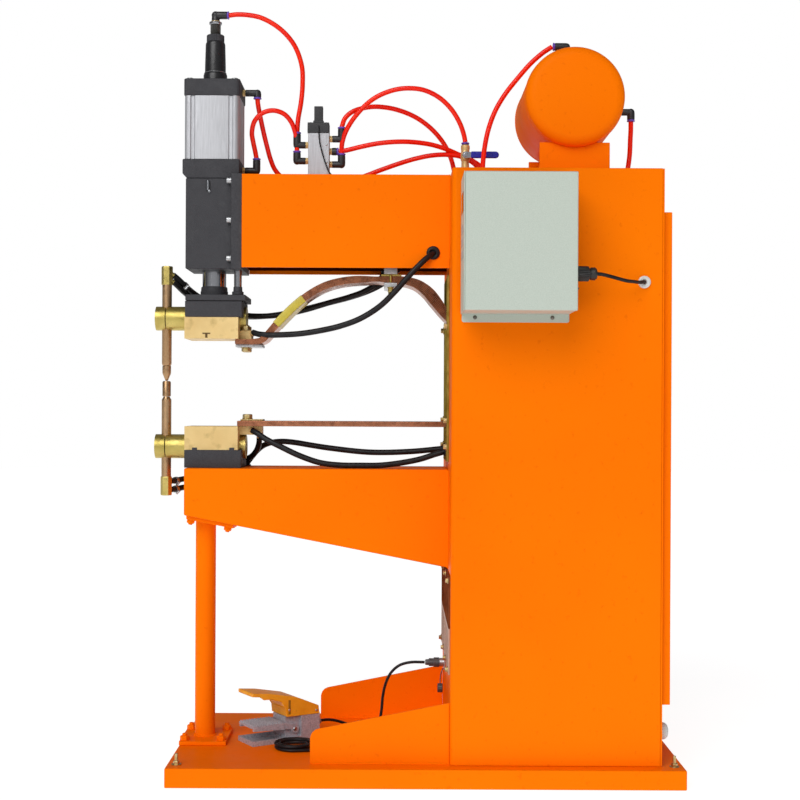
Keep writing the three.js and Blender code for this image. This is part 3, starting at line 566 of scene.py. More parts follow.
def piece(name, bm, slot, body="frame", bevel=0.0, replaces=(), look=None, segments=2, angle=30):
    """Turns a bmesh into a finished piece in the named look, or else the slot's, riding a body if given."""
    bmesh.ops.recalc_face_normals(bm, faces=bm.faces)
    mesh = bpy.data.meshes.new(name)
    bm.to_mesh(mesh)
    bm.free()
    obj = bpy.data.objects.new(name, mesh)
    bpy.context.scene.collection.objects.link(obj)
    mesh.shade_smooth()
    if bevel:
        edge = obj.modifiers.new("rounded_edges", "BEVEL")
        edge.width = bevel * MM
        edge.segments = segments
        edge.limit_method = "ANGLE"
        edge.angle_limit = math.radians(angle)
        obj.modifiers.new("flat_faces", "WEIGHTED_NORMAL")
    else:
        mesh.set_sharp_from_angle(angle=math.radians(angle))
    mesh.materials.append(LOOKS[look or slot].material)
    if body:
        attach(obj, body)
    if replaces:
        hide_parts(*replaces)
    return obj


def built(name, slot, *shapes, **options):
    """A piece put together from shapes: each is a mesh-making function with its arguments."""
    bm = bmesh.new()
    for make, *values in shapes:
        make(bm, *values)
    return piece(name, bm, slot, **options)


def body_of(node):
    for name, members in frame["record"]["behaviour"]["bodies"].items():
        if node in members:
            return name
    raise ValueError(node)


def slot_of(node):
    return next(s["material_slot"] for s in frame["record"]["subparts"] if s["node"] == node)


def refine(node, bevel, slot=None, angle=30, segments=2, without=None):
    """A finer copy of a CAD node: flat faces made whole, and the edges rounded.

    What lies in the box called without is left out, because another piece stands for it.
    """
    bm = bmesh.new()
    bm.from_mesh(NODES[node].data)
    if without:
        lo, hi = (Vector(corner) * MM for corner in without)
        inside = [v for v in bm.verts if all(lo[i] < v.co[i] < hi[i] for i in range(3))]
        bmesh.ops.delete(bm, geom=inside, context="VERTS")
    bmesh.ops.remove_doubles(bm, verts=bm.verts, dist=SAME_POINT)
    bmesh.ops.dissolve_limit(bm, angle_limit=SAME_PLANE, verts=bm.verts, edges=bm.edges)
    piece(f"{node}_fine", bm, slot or slot_of(node), body_of(node), bevel, (node,),
          segments=segments, angle=angle)


def refine_all(bevels):
    for node, bevel in bevels.items():
        refine(node, bevel)


# ---------------------------------------------------------------- fasteners and fittings


def hex_bolt(bm, at, direction, across, height, washer=0.0, shank=0.0):
    """A hexagon head with a chamfered crown, with a washer under it and a stud through it if given."""
    at, radius, thick = Vector(at), across / math.sqrt(3), 1.8
    if washer:
        lathe(bm, disc(washer, 0, thick), at, direction, 32)
        at = at + direction * thick
    crown = [(0, 0), (radius, 0), (radius, height * 0.82), (radius * 0.86, height), (0, height)]
    lathe(bm, crown, at, direction, 6)
    if shank:
        stud = [(0, height - 1), (across * 0.3, height - 1), (across * 0.3, height + shank - 1.5),
                (across * 0.24, height + shank), (0, height + shank)]
        lathe(bm, stud, at, direction, 24)


def cap_screw(bm, at, direction, radius, height, washer=0.0):
    """A socket head screw, with a washer under it if given."""
    at, thick, socket = Vector(at), 1.6, radius * 0.48
    if washer:
        lathe(bm, disc(washer, 0, thick), at, direction, 32)
        at = at + direction * thick
    lathe(bm, [(0, height * 0.45), (socket, height * 0.45), (socket, height), (radius * 0.9, height),
               (radius, height * 0.88), (radius, 0), (0, 0)], at, direction, 30)


def pan_screw(bm, at, direction, radius):
    """A low domed screw."""
    turns = [math.radians(15 * i) for i in range(6)]
    dome = [(radius * math.cos(a), radius * 0.5 * math.sin(a)) for a in turns]
    lathe(bm, [(0, 0), *dome, (0, radius * 0.5)], at, direction, 24)


class Fittings:
    """Push-in fittings gathered by material, so that each body has three pieces of them."""

    def __init__(self, body, prefix):
        self.body, self.prefix = body, prefix
        self.nuts, self.shells, self.rings = bmesh.new(), bmesh.new(), bmesh.new()

    def nut(self, at, direction, radius=7.2, length=6):
        lathe(self.nuts, disc(radius, 0, length), at, direction, 6)

    def port(self, at, direction, length):
        """The barrel that a hose goes into, with its release ring: at is where the barrel starts."""
        barrel = [(0, 0), (7.6, 0), (7.9, 3), (7.9, length - 4), (7.2, length - 3), (0, length - 3)]
        lathe(self.shells, barrel, at, direction, 32)
        release = [(0, 0), (7.0, 0), (7.4, 1.2), (8.4, 1.6), (8.4, 3.4), (7.6, 4), (0, 4)]
        lathe(self.rings, release, Vector(at) + direction * (length - 3.2), direction, 32)

    def elbow(self, wall, nipple, corner, port, length):
        """A hexagon nut on the wall, an arm to the corner, a ball there and a port."""
        wall, corner = Vector(wall), Vector(corner)
        reach = (corner - wall).length
        self.nut(wall, nipple)
        lathe(self.shells, [(0, 5.5), (6.6, 5.5), (7.0, 7), (7.0, reach), (0, reach)], wall, nipple, 32)
        lathe(self.shells, ball(7.6), corner, port, 32)
        self.port(corner, port, length)

    def finish(self):
        piece(f"{self.prefix}_nuts", self.nuts, "brass_block", self.body, 0.3)
        piece(f"{self.prefix}_shells", self.shells, "dark_plastic", self.body)
        piece(f"{self.prefix}_rings", self.rings, None, self.body, look="violet_ring")


def hose(name, route, diameter, slot, body="frame",
         replaces=(), bends=None):
    """A hose, cable or cord of its real length along a smooth curve through the route."""
    path = smooth_path(route)
    bm = bmesh.new()
    sweep(bm, path, circle(diameter / 2))
    obj = piece(name, bm, slot, None if bends else body, replaces=replaces)
    if bends:
        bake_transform(obj)
    return obj


def grommets(name, spots, hole, rim=5.0):
    """Rubber rings where hoses go through sheet: spots are pairs of a point and an outward direction."""
    edge = hole + rim
    lip = [(hole, -1), (edge, -1), (edge, 1.6), (edge - 1.6, 3), (hole + 0.6, 3), (hole, 2), (hole, -1)]
    built(name, "black_rubber", *[(lathe, lip, at, direction, 40) for at, direction in spots])


# ---------------------------------------------------------------- the foot switch's cord


PLUG = (0, 40, 192)


def coil_turns(centre, start, inwards, outwards, outer, inner, low, high, steps=14):
    """Clockwise turns that wind inwards on the base and then outwards on top of themselves."""
    points = []
    for i in range(round(steps * (inwards + outwards)) + 1):
        turned = i / steps
        if turned < inwards:
            radius = outer + (inner - outer) * turned / inwards
        else:
            radius = inner + (outer - inner) * (turned - inwards) / outwards
        climb = min(max(turned - inwards + 0.45, 0) / 0.9, 1)
        height = low + (high - low) * climb * climb * (3 - 2 * climb)
        angle = math.radians(start - 360 * turned)
        points.append((centre[0] + radius * math.cos(angle), centre[1] + radius * math.sin(angle), height))
    return points


def pedal_cord_route():
    """From the foot switch along the base, through a loose coil, and up to the socket on the column."""
    lying = 41.5
    gland = PEDAL @ Vector((96.9, 0, 28))
    run = [
        tuple(gland), (gland.x + 17, gland.y + 10.6, 66), (-183, 64, 62), (-158, 73, 52), (-133, 75, 43.5),
        (-108, 66, lying), (-92, 44, lying), (-90, 14, lying), (-100, -18, lying), (-121, -50, lying),
        (-152, -78, lying), (-186, -97, lying), (-210, -107, lying), (-228, -113.5, lying),
    ]
    coil = coil_turns((-263, -80), -70, inwards=1.7, outwards=1.8, outer=40, inner=25.5, low=lying + 0.4,
                      high=lying + 6.5)
    tail = [
        (-242, -40, 46.8), (-220, -44, 43.5), (-198, -46, lying), (-176, -41, lying), (-156, -28, lying),
        (-138, -8, lying), (-120, 12, lying), (-106, 25, 45), (-95, 33, 59), (-88, 38, 86), (-85, 40, 118),
        (-79, 40, 146), (-68, 40, 169), (-50, 40, 185), (-27, 40, 191.5), (3.4, 40, 192),
    ]
    return run + coil + tail


def make_pedal_cord():
    shell = [(0, 4.3), (5.2, 4.3), (6.2, 8), (6.2, 12), (8.2, 12), (8.2, 22), (10, 22.4), (10, 34), (0, 34)]
    plug = built("foot_switch_plug", "plated_steel", (lathe, shell, PLUG, RIGHT, 48, 24, 0.02),
                 replaces=("pedal_plug",), look="gunmetal")
    hose("foot_switch_cord", pedal_cord_route(), 6, "black_rubber",
         replaces=("pedal_cord_run", "pedal_cord_coil", "pedal_cord_tail"))
    built("pedal_socket_fine", "plated_steel",
          (box, (43.7, 26, 178), (46.7, 54, 206)),
          (lathe, [(0, 34.4), (8.6, 34.4), (9, 35), (9, 44), (0, 44)], PLUG, RIGHT, 48),
          *[(pan_screw, (43.7, y, z), LEFT, 2) for y, z in product((30, 50), (182, 202))],
          bevel=0.4, replaces=("pedal_socket",))
    cap = [(0, 0), (8.4, 0), (9.4, 1), (9.4, 10), (8.4, 11), (0, 11)]
    built("socket_dust_cap", "plated_steel", (lathe, cap, (30, 24, 141), RIGHT, 40, 20, 0.02),
          look="gunmetal")
    lanyard = [(42, 31, 181), (38, 29, 172), (36, 26, 160), (35.5, 24, 150)]
    built("dust_cap_lanyard", "plated_steel", (sweep, smooth_path(lanyard, 2), circle(1.1, 10)),
          look="gunmetal")


# ---------------------------------------------------------------- air hoses


AIR = 10.0
AIR_HOSES = {
    "air_hose_press": [
        (-352, 0, 1373), (-351, 2, 1361), (-347, 8, 1338), (-341, 16, 1308), (-334, 25, 1278),
        (-327, 33, 1252), (-318, 40, 1231), (-303, 45, 1216), (-282, 47, 1209.5), (-250, 48, 1208.5),
        (-214, 48, 1208.5), (-174, 47, 1210), (-136, 44, 1217), (-96, 39, 1231), (-57, 33, 1244),
        (-22, 29, 1254), (13, 28, 1261), (47, 30, 1263), (76, 32, 1259), (101, 32, 1246), (116, 30, 1226),
        (122, 30, 1197),
    ],
    "air_hose_lift": [
        (-353, 0, 1246), (-356, -1, 1262), (-360, -4, 1281), (-362.5, -8, 1300), (-357, -13, 1322),
        (-341, -17, 1338.5), (-318.5, -18, 1344.5), (-296, -15, 1338.5), (-281, -10, 1323),
        (-273, -5, 1303), (-269.5, -1, 1283), (-269, 0, 1263),
    ],
    "air_hose_exhaust": [
        (-176, 0, 1314), (-169, 0, 1333), (-152, 3, 1348), (-125, 8, 1357), (-100, 14, 1360),
        (-61, 24, 1356), (-20, 36, 1342), (14, 47, 1319), (39, 56, 1291), (54, 62, 1262), (62, 66, 1232),
        (66, 68, 1197),
    ],
    "air_hose_supply": [
        (-176, 0, 1259), (-175, -2, 1280), (-165, -8, 1308), (-139, -15, 1344), (-107, -20, 1371),
        (-72, -22, 1386), (-41, -22, 1391), (-6, -20, 1388), (26, -15, 1374), (52, -9, 1351),
        (70, -4, 1323), (79, 0, 1299), (82, 0, 1284),
    ],
    "air_hose_pilot": [
        (-182, 0, 1263), (-165, 0, 1266), (-140, -2, 1272), (-99, -4, 1280), (-56, -2, 1284),
        (-22, 4, 1284), (12, 14, 1281), (42, 24, 1274), (72, 38, 1264), (104, 52, 1252), (130, 60, 1231),
        (138, 62, 1197),
    ],
    "air_hose_tank": [
        (256, -50, 1471), (238, -50, 1459), (213, -50, 1437), (186, -50, 1406), (161, -50, 1374),
        (141, -50, 1340), (127, -49, 1302), (119, -48, 1262), (116, -46, 1230), (115, -45, 1197),
    ],
    "air_hose_feed": [
        (427, 0, 1328), (427, 0, 1312), (426, 0, 1290), (425, 0, 1262), (422, 0, 1236), (418, 0, 1215),
        (416, 0, 1197),
    ],
}
THROUGH_ROOF = ("press", "exhaust", "pilot", "tank", "feed")
RETRACT_ROUTE = [
    (-412.5, 0, 1546), (-396, 0, 1548), (-372, 0, 1547), (-344, 0, 1541), (-306, 0, 1519), (-276, 0, 1485),
    (-260, 0, 1442), (-258, 0, 1404), (-261, 0, 1366), (-267, 0, 1330), (-269, 0, 1302.5),
]


def make_air_hoses():
    for name, points in AIR_HOSES.items():
        hose(name, points, AIR, "red_hose")
    hose("air_hose_retract", RETRACT_ROUTE, AIR, "red_hose", replaces=("retract_air_hose",),
         bends=("frame", "retract_set", (-0.262, 0, 1.36), (-0.33, 0, 1.53)))
    ends = [AIR_HOSES[f"air_hose_{name}"][-1] for name in THROUGH_ROOF]
    grommets("roof_grommets", [((x, y, COLUMN_TOP + 1), UP) for x, y, _ in ends], AIR / 2 + 0.2)


# ---------------------------------------------------------------- water hoses and cables


WATER = 12.0
TIP_HOSE_GAP = 18
WATER_HOSES = {
    "water_hose_lower_lug": [
        (-357, -25, 681), (-345, -33, 675), (-330, -38, 665), (-298, -44, 649), (-257, -48, 630),
        (-215, -50, 616), (-174, -50, 611.2), (-133, -50, 610.8), (-92, -48, 611.2), (-51, -45, 616),
        (-10, -41, 624), (21, -38, 634), (42, -36, 640),
    ],
    "water_hose_lower_arm": [
        (-380, 69, 606), (-373, 68.5, 615.5), (-364, 66.5, 627), (-354, 62, 638), (-341, 55.5, 648),
        (-323, 48, 654.5), (-300, 41, 657), (-272, 34.5, 655), (-240, 28, 650), (-198, 22, 644),
        (-114, 14, 636), (-30, 9, 638), (42, 6, 645),
    ],
    "water_hose_lower_return": [
        (-346, 14, 665), (-347, 20, 655), (-352, 31, 641), (-363, 45, 627), (-379, 59, 618),
        (-394, 67, 612), (-404, 70, 606),
    ],
    "water_hose_tip_feed": [
        (-530, 6, 574), (-524, 18, 574.5), (-516, 36, 575.5), (-505, 57, 577), (-491, 76, 578),
        (-470, 91, 578.5), (-444, 98, 578), (-414, 98, 577), (-386, 93, 576), (-360, 86, 575),
    ],
}
WATER_HOSES["water_hose_tip_return"] = [
    (x, y, z - TIP_HOSE_GAP) for x, y, z in WATER_HOSES["water_hose_tip_feed"]
]
MOVING_WATER_HOSES = {
    "water_hose_upper_lug": [
        (-357, -24, 884), (-344, -32, 880), (-322, -40, 878), (-299, -46, 878), (-257, -58, 880),
        (-215, -68, 886), (-174, -77, 895), (-133, -85, 910), (-93, -93, 935), (-64, -98, 963),
        (-40, -100, 990), (-19, -98, 1013), (-3, -93, 1029), (7, -86.5, 1038), (14, -79, 1044),
        (18.5, -73.5, 1048),
    ],
    "water_hose_upper_feed": [
        (-526, 3, 1004), (-518, 11, 997), (-508, 24, 987), (-497, 42, 976), (-483, 58, 965),
        (-462, 67, 953), (-436, 70, 941), (-404, 70, 930), (-374, 68, 924), (-316, 65, 925),
        (-258, 62, 936), (-204, 60, 952), (-162, 60, 964), (-130, 60, 976), (-107, 60, 990),
        (-92, 60, 1006), (-84, 60, 1022),
    ],
    "water_hose_upper_return": [
        (-526, 3, 990), (-519, 14, 983), (-511, 31, 974), (-501, 52, 965), (-487, 71, 956),
        (-465, 82, 946), (-437, 85, 936), (-404, 85, 927), (-374, 83, 923), (-316, 80, 927),
        (-258, 76, 939), (-204, 73, 953), (-158, 70, 965), (-120, 68, 978), (-92, 66.3, 992),
        (-73, 66.3, 1007), (-62, 66.3, 1022),
    ],
}
CONTROL_CABLE = [
    (317.5, -285, 984), (328, -285, 983), (345, -284, 979), (362, -279, 975), (378, -268, 972.5),
    (393, -253, 972.5), (406, -238, 972.5), (415, -229, 974), (418.3, -221, 974.5),
]
VALVE_CABLE = [
    (-222, -12, 1318), (-222.6, -18, 1306), (-222, -19, 1290), (-220, -19, 1275), (-215, -19, 1256),
    (-208, -19, 1234), (-200, -20, 1216), (-192, -22, 1208), (-184, -26, 1203.5),
]


def make_water_hoses():
    for name, route in WATER_HOSES.items():
        hose(name, route, WATER, "black_rubber")
    for name, route in MOVING_WATER_HOSES.items():
        hose(name, route, WATER, "black_rubber",
             bends=("ram", "frame", (-0.36, 0, 0), (-0.09, 0, 0)))
    hole = WATER / 2 + 0.2
    panel_ends = [WATER_HOSES[f"water_hose_{name}"][-1] for name in ("lower_lug", "lower_arm")]
    spots = [((42.6, y, z), LEFT) for _, y, z in panel_ends]
    spots += [((x, y, 605), UP) for x, y in ((-404, 70), (-380, 69))]
    spots += [((-356, 80, z), BACK) for z in (575, 557)]
    grommets("hose_grommets", spots, hole)
    under_arm = [MOVING_WATER_HOSES[f"water_hose_upper_{name}"][-1] for name in ("feed", "return")]
    grommets("under_arm_grommets", [((x, y, 1020), DOWN) for x, y, _ in under_arm], hole, 3)


def make_arm_grommet():
    lip = [(6.3, 1), (6.3, -4), (9.6, -4), (9.6, 0.4), (13.5, 0.4), (13.8, 2), (12, 3.6), (8.6, 4.2),
           (6.3, 3), (6.3, 1)]
    built("upper_arm_grommet", "black_rubber", (lathe, lip, (14, -80, 1044), FRONT, 48))


def make_cables():
    hose("controller_cable", CONTROL_CABLE, 7, "black_rubber")
    hose("valve_cable", VALVE_CABLE, 2.8, "black_rubber")


# ---------------------------------------------------------------- base, column and arms


def make_base():
    refine_all({"base_pan": 2.2, "base_rib": 2.2})
    corners = list(product((-481, 481), (-220, 220)))
    built("anchor_nuts_and_studs", "plated_steel",
          *[(hex_bolt, (x, y, BASE_TOP + 1.9), UP, 11, 6, 0, 14) for x, y in corners],
          bevel=0.4, look="yellow_zinc")
    built("anchor_washers", "plated_steel",
          *[(lathe, ring(3, 9.5, 0, 1.8), (x, y, BASE_TOP + 0.1), UP, 40) for x, y in corners],
          bevel=0.3, look="yellow_zinc")


def weld_bead(bm, route, radius=2.2):
    """A rippled bead along a joint."""
    spacing, pitch = 1.2, 3.0
    path = smooth_path(route, spacing)

    def section(share):
        ripple = 1 + 0.14 * math.cos(2 * math.pi * share * len(path) * spacing / pitch)
        return [(a * ripple, b * ripple) for a, b in circle(radius, 10)]

    sweep(bm, path, section)


def straight_beads(bm, corners):
    for a, b in zip(corners, corners[1:]):
        middle = tuple((p + q) / 2 for p, q in zip(a, b))
        weld_bead(bm, [a, middle, b])


def make_column():
    refine("column_shell", 1.6)
    gland = ((457.6, -200, 80), (480, -160, 118))
    refine("column_door_frame", 0.8, without=gland)
    refine_all({"rear_door": 2.4, "door_latch": 1.2, "front_wing": 1.2, "rear_wing": 1.2, "upper_arm": 2.4,
                "lower_arm": 2.4})
    # Painted shade: a thin dark sheet under the arm's recessed bottom plate and two strips on its inner
    # walls stand for the shadow in the recess.
    built("upper_arm_recess_shade", None,
          (box, (-374, -75.9, 1021.22), (46, 75.9, 1021.45)),
          *[(box, (-374, y, 1013.8), (46, y + 0.2, 1021.2)) for y in (-75.95, 75.75)],
          look="painted_recess_shade")
    wall = COLUMN_LEFT - 0.5
    runs = [[(wall, y, 1203), (wall, y, 1030)] for y in (-80, 80)]
    runs.append([(wall, -80, 603), (wall, -80, 406), (wall, 80, 406), (wall, 80, 603)])
    runs += [[(-222, y, 39), (wall, y, 39)] for y in (-208, -202, 202, 208)]
    built("frame_weld_beads", "orange_paint", *[(straight_beads, run) for run in runs])
    built("door_seal", "black_rubber",
          *[(box, (457.5, y, 156), (459.8, y + 8, 1111)) for y in (-204.5, 196.5)],
          *[(box, (457.5, -197, z), (459.8, 197, z + 8)) for z in (156, 1103)],
          bevel=0.3)


def make_gland():
    dome = [(0, -1), (15.5, -1), (15.5, 3), (16.2, 4.5), (16.2, 9), (15, 13), (11.5, 16.5), (6, 18.4),
            (0, 18.8)]
    built("mains_gland", None, (lathe, dome, (457.4, -180, 99), RIGHT, 72, 18, 0.02), look="white_nylon")


def make_pillar():
    refine("support_pillar", 1.6)
    slope = math.radians(11)
    tilt = Vector((-math.sin(slope), 0, -math.cos(slope)))
    under_arm = product(((-479, 498.5), (-403, 483.8)), (-50, 50))
    built("pillar_bolts", "orange_paint",
          *[(hex_bolt, (x, y, 46.4), UP, 17, 9, 0, 5) for x, y in product((-490, -415), (-50, 50))],
          *[(hex_bolt, (x, y, z), tilt, 15, 8, 0, 3) for (x, z), y in under_arm],
          bevel=0.5)
    foot = [(-455 + 22 * math.cos(a), 22 * math.sin(a), 47) for a in [math.pi * i / 8 for i in range(17)]]
    built("pillar_weld_bead", "orange_paint", (weld_bead, foot, 2))


def make_panels():
    refine("secondary_window_panel", 0.6)
    built("panel_screws", "plated_steel",
          *[(hex_bolt, (42.6, y, z), LEFT, 10, 5, 8) for z, y in product((651, 704, 895), (-88, 88))],
          *[(hex_bolt, (43.6, y, z), LEFT, 8, 4, 6.5)
            for z, y in product((220, 393), (-195, -65, 65, 195))],
          bevel=0.3, look="yellow_zinc")
    built("vent_board", "brown_laminate", (box, (43.7, -205, 300.4), (46.7, 205, 402)),
          bevel=0.6, replaces=("vent_panel",))
    rim = (((-205, 211), (205, 222)), ((-205, 290), (205, 300)), ((-205, 222), (-190, 290)),
           ((190, 222), (205, 290)), ((-5, 222), (5, 290)))
    slat = [(43.7, 0), (46.7, 3.4), (46.7, 5), (43.7, 1.6)]
    built("vent_louvre", None,
          *[(box, (43.7, *lo), (46.7, *hi)) for lo, hi in rim],
          *[(prism, [(x, 224 + 6 * i + z) for x, z in slat], -190, 190) for i in range(11)],
          bevel=0.2, look="beige_louvre")


# ---------------------------------------------------------------- head, cylinder and ram


def barrel_outline():
    """A square extrusion with round corners and two grooves on each side."""
    half, corner = 56.0, 9.0
    side = [(-half + corner, 0), (-44, 0), (-42, 2.6), (-36, 2.6), (-34, 0.6), (-30, 0.2), (0, 0),
            (30, 0.2), (34, 0.6), (36, 2.6), (42, 2.6), (44, 0), (half - corner, 0)]
    outline = []
    for quarter in range(4):
        turn = Matrix.Rotation(math.radians(90 * quarter), 2)
        edge = [(along, -half + depth) for along, depth in side]
        edge += arc((half - corner, -half + corner), corner, -80, -10, 5)
        outline += [turn @ Vector(point) for point in edge]
    return [(HEAD_X + p.x, p.y) for p in outline]


def make_cylinder():
    reach = 57.5
    cap = rounded(HEAD_X - reach, HEAD_X + reach, -reach, reach, 8)
    built("cylinder_top_cap_fine", "black_coating", (prism, cap, 1367.3, 1402, "Z"),
          bevel=2.2, replaces=("cylinder_top_cap",))
    lower = [(HEAD_X - 49.5, 1197), (HEAD_X + 42.3, 1197), (HEAD_X + 42.3, 1205.4), (HEAD_X + reach, 1207),
             (HEAD_X + reach, 1237), (HEAD_X - 59.5, 1237), (HEAD_X - 59.5, 1207)]
    built("cylinder_bottom_cap_fine", "black_coating", (prism, lower, -reach, reach),
          bevel=2.2, replaces=("cylinder_bottom_cap",))
    built("cylinder_barrel_fine", "cast_aluminium", (prism, barrel_outline(), 1237.3, 1367, "Z"),
          replaces=("cylinder_barrel",), angle=24)
    built("tie_rod_screws", "plated_steel",
          *[(cap_screw, (HEAD_X + x, y, 1397.5), UP, 6.5, 7) for x, y in product((-46, 46), (-46, 46))],
          bevel=0.3)


def make_adjuster():
    sleeve = [(11.5, 1402.3), (24.5, 1402.3), (24.5, 1420), (23.6, 1422.4), (22.2, 1424), (21.6, 1425),
              (21.5, 1440), (20.3, 1484), (19.6, 1487), (18.4, 1489), (11.5, 1489), (11.5, 1402.3)]
    built("adjuster_sleeve_fine", "black_coating", (lathe, sleeve, HEAD_AXIS, UP, 96),
          replaces=("adjuster_sleeve",), look="black_oxide")
    # Painted highlight: a bright zinc band on the sleeve's chamfer stands for the light caught along its
    # edge.
    band = [(21.4, 1424.2), (23.4, 1424.2), (22.6, 1425.6), (21.4, 1425.6), (21.4, 1424.2)]
    built("adjuster_edge_highlight", "plated_steel", (lathe, band, HEAD_AXIS, UP, 96))
    nut = [(11.4, 1489.3), (17, 1489.3), (18, 1490.4), (18, 1502.4), (17, 1503.7),
           (11.4, 1503.7), (11.4, 1489.3)]
    built("stroke_nut_fine", "black_coating", (lathe, nut, HEAD_AXIS, UP, 72, 36, 0.018),
          body="retract_set", replaces=("stroke_nut",))


def make_retract_rod():
    thread = [(10.9 - 0.7 * (i % 2), 1503.7 + 0.9 * i) for i in range(25)]
    rod = [(0, 1305), (49.6, 1305), (49.6, 1322), (10.6, 1322), (10.6, 1503), *thread,
           (10.6, 1526), (0, 1526)]
    built("hollow_rod_fine", "black_coating", (lathe, rod, HEAD_AXIS, UP, 72),
          body="retract_set", replaces=("hollow_rod",), look="phosphated_steel")
    nut = [(0, 1526.1), (12.6, 1526.1), (13, 1527), (13, 1531), (9, 1532.5), (0, 1532.5)]
    built("swivel_nut", "chrome_steel", (lathe, nut, HEAD_AXIS, UP, 48), body="retract_set")
    swivel = (HEAD_X, 0, 1546)
    neck = [(0, 1532.6), (8.6, 1532.6), (8.2, 1540), (7.6, 1546), (0, 1546)]
    fittings = Fittings("retract_set", "retract_fitting")
    lathe(fittings.shells, neck, HEAD_AXIS, UP, 40)
    lathe(fittings.shells, ball(8.4), swivel, UP, 40)
    fittings.port(swivel, RIGHT, 27)
    lathe(fittings.nuts, disc(9.2, 1532.2, 1533.4), HEAD_AXIS, UP, 40)
    fittings.finish()


def make_head():
    refine("head_mount_plate", 1.8)
    refine("head_housing", 3.0, segments=3)
    refine("ram_bush", 0.6, slot="black_coating")
    built("head_screws", "plated_steel",
          *[(cap_screw, (-397.6, y, z), LEFT, 6.5, 8, 7.2)
            for z, y in product((1191, 1111, 1032.5), (-67.5, 67.5))],
          *[(cap_screw, (HEAD_X - 51.5, y, z), LEFT, 5, 4) for z, y in product((1020, 1190), (-30, 30))],
          bevel=0.3)
    # Painted shade: a thin near-black sheet on the housing stands for the shadow inside the indicator pin's
    # slot.
    built("indicator_slot_shade", None, (prism, rounded(-451, -441, 1168, 1192, 4.5), -60.25, -58), look="painted_slot_shade")
    built("indicator_pin", "chrome_steel",
          (lathe, [(0, -2), (3.6, -2), (3.6, 17), (3, 18), (0, 18)], (-446.5, -60.5, 1174), UP, 32),
          (lathe, disc(2.6, 0, 5), (-443.5, -58.5, 1170), FRONT, 24),
          bevel=0.3)
    refine("main_piston", 0.6)


def make_ram():
    shaft = [(0, 960), (24.5, 960), (24.5, 1159), (23.5, 1160), (15, 1160), (15, 1265),
             (14, 1266), (0, 1266)]
    built("ram_shaft_fine", "chrome_steel", (lathe, shaft, HEAD_AXIS, UP, 96),
          body="ram", replaces=("ram_shaft",))
    rod = [(0, 960), (8, 960), (8, 1149), (7, 1150), (0, 1150)]
    built("guide_rod_fine", "chrome_steel", (lathe, rod, GUIDE_AXIS, UP, 48),
          body="ram", replaces=("guide_rod",))
    collar = [(24.6, 960), (28.5, 960), (28.5, 969), (27.6, 970), (27, 978), (26, 979),
              (24.6, 979), (24.6, 960)]
    small = [(8.1, 960), (12, 960), (12, 966), (9.4, 967), (9, 976), (8.1, 976.4), (8.1, 960)]
    built("ram_collars", "black_coating",
          (lathe, collar, HEAD_AXIS, UP, 72),
          (lathe, small, GUIDE_AXIS, UP, 48),
          (lathe, ring(29, 40, 959.4, 961.4), HEAD_AXIS, UP, 72),
          body="ram", bevel=0.4)
    refine("ram_plate", 1.4)


# ---------------------------------------------------------------- electrodes


def toward(x, y, z):
    return Vector((x, y, z)).normalized()


def hose_barb(bm, at, direction, length):
    """A ringed nipple that a water hose is pushed over."""
    radius, rings = 5.4, 3
    profile = [(0, -3), (radius - 1, -3)]
    for i in range(rings):
        height = i * length / rings
        profile += [(radius + 0.9, height), (radius - 0.6, height + length / rings - 0.4)]
    lathe(bm, [*profile, (0, length)], at, direction, 32)


def hose_clamp(bm, at, direction):
    """A worm-drive band with its screw housing."""
    side = direction.orthogonal().normalized()
    lathe(bm, ring(6.5, 7.4, -4, 4), at, direction, 40)
    lathe(bm, disc(2.6, -5, 5), Vector(at) + direction.cross(side) * 8.9, side, 20)


def upper_tip_profile():
    """A cap with a pointed nose, blunt at the very end."""
    turns = [math.radians(a) for a in (0, 30, 60, 90)]
    nose = [(3.2 * math.sin(a), 783.2 + 1.6 * (1 - math.cos(a))) for a in turns]
    return [*nose, (8.4, 797.5), (8.9, 799.5), (9, 813.6), (8.4, 814.5), (0, 814.5)]


def make_electrodes():
    upper = [(0, 814.8), (8.2, 814.8), (9, 815.6), (10, 819), (10, 984), (0, 984)]
    built("upper_electrode_tube", "electrode_copper", (lathe, upper, ELECTRODE_AXIS),
          body="ram", replaces=("upper_electrode",))
    built("upper_cap_tip_fine", "electrode_copper", (lathe, upper_tip_profile(), ELECTRODE_AXIS),
          body="ram", replaces=("upper_cap_tip",))
    lower = [(0, 583), (10, 583), (10, 744), (7, 749), (6.6, 750.7), (0, 750.7)]
    built("lower_electrode_tube", "electrode_copper", (lathe, lower, ELECTRODE_AXIS),
          replaces=("lower_electrode",))
    lower_tip = [(0, 751), (8.1, 751), (8.7, 752), (8.7, 780), (7.6, 782.4), (6, 782.85), (0, 782.85)]
    built("lower_cap_tip_fine", "electrode_copper", (lathe, lower_tip, ELECTRODE_AXIS),
          replaces=("lower_cap_tip",))


def make_water_fittings():
    head = [(0, 983), (11.4, 983), (12, 985), (12, 1020), (11.2, 1022), (0, 1022)]
    built("upper_water_fitting", "aged_brass",
          (lathe, head, ELECTRODE_AXIS, UP, 6),
          (hose_barb, (-531, 2, 1006), toward(0.6, 0.72, -0.5), 11),
          (hose_barb, (-531, 2, 992), toward(0.6, 0.8, -0.5), 11),
          body="ram", bevel=0.6)
    foot = [(0, 544.5), (11.2, 544.5), (12, 546.5), (12, 582), (11.4, 584), (0, 584)]
    built("lower_water_fitting", "aged_brass",
          (lathe, foot, ELECTRODE_AXIS, UP, 6),
          *[(hose_barb, (-533, 4, z), toward(0.42, 0.9, 0), 16) for z in (574, 556)],
          bevel=0.6)
    built("upper_hose_clamps", "plated_steel", (hose_clamp, (-505, 28, 984), toward(0.45, 0.72, -0.5)),
          body="ram")
    built("lower_hose_clamps", "plated_steel",
          *[(hose_clamp, (-522, 22, z), toward(0.42, 0.9, 0.04)) for z in (574.8, 556.8)])


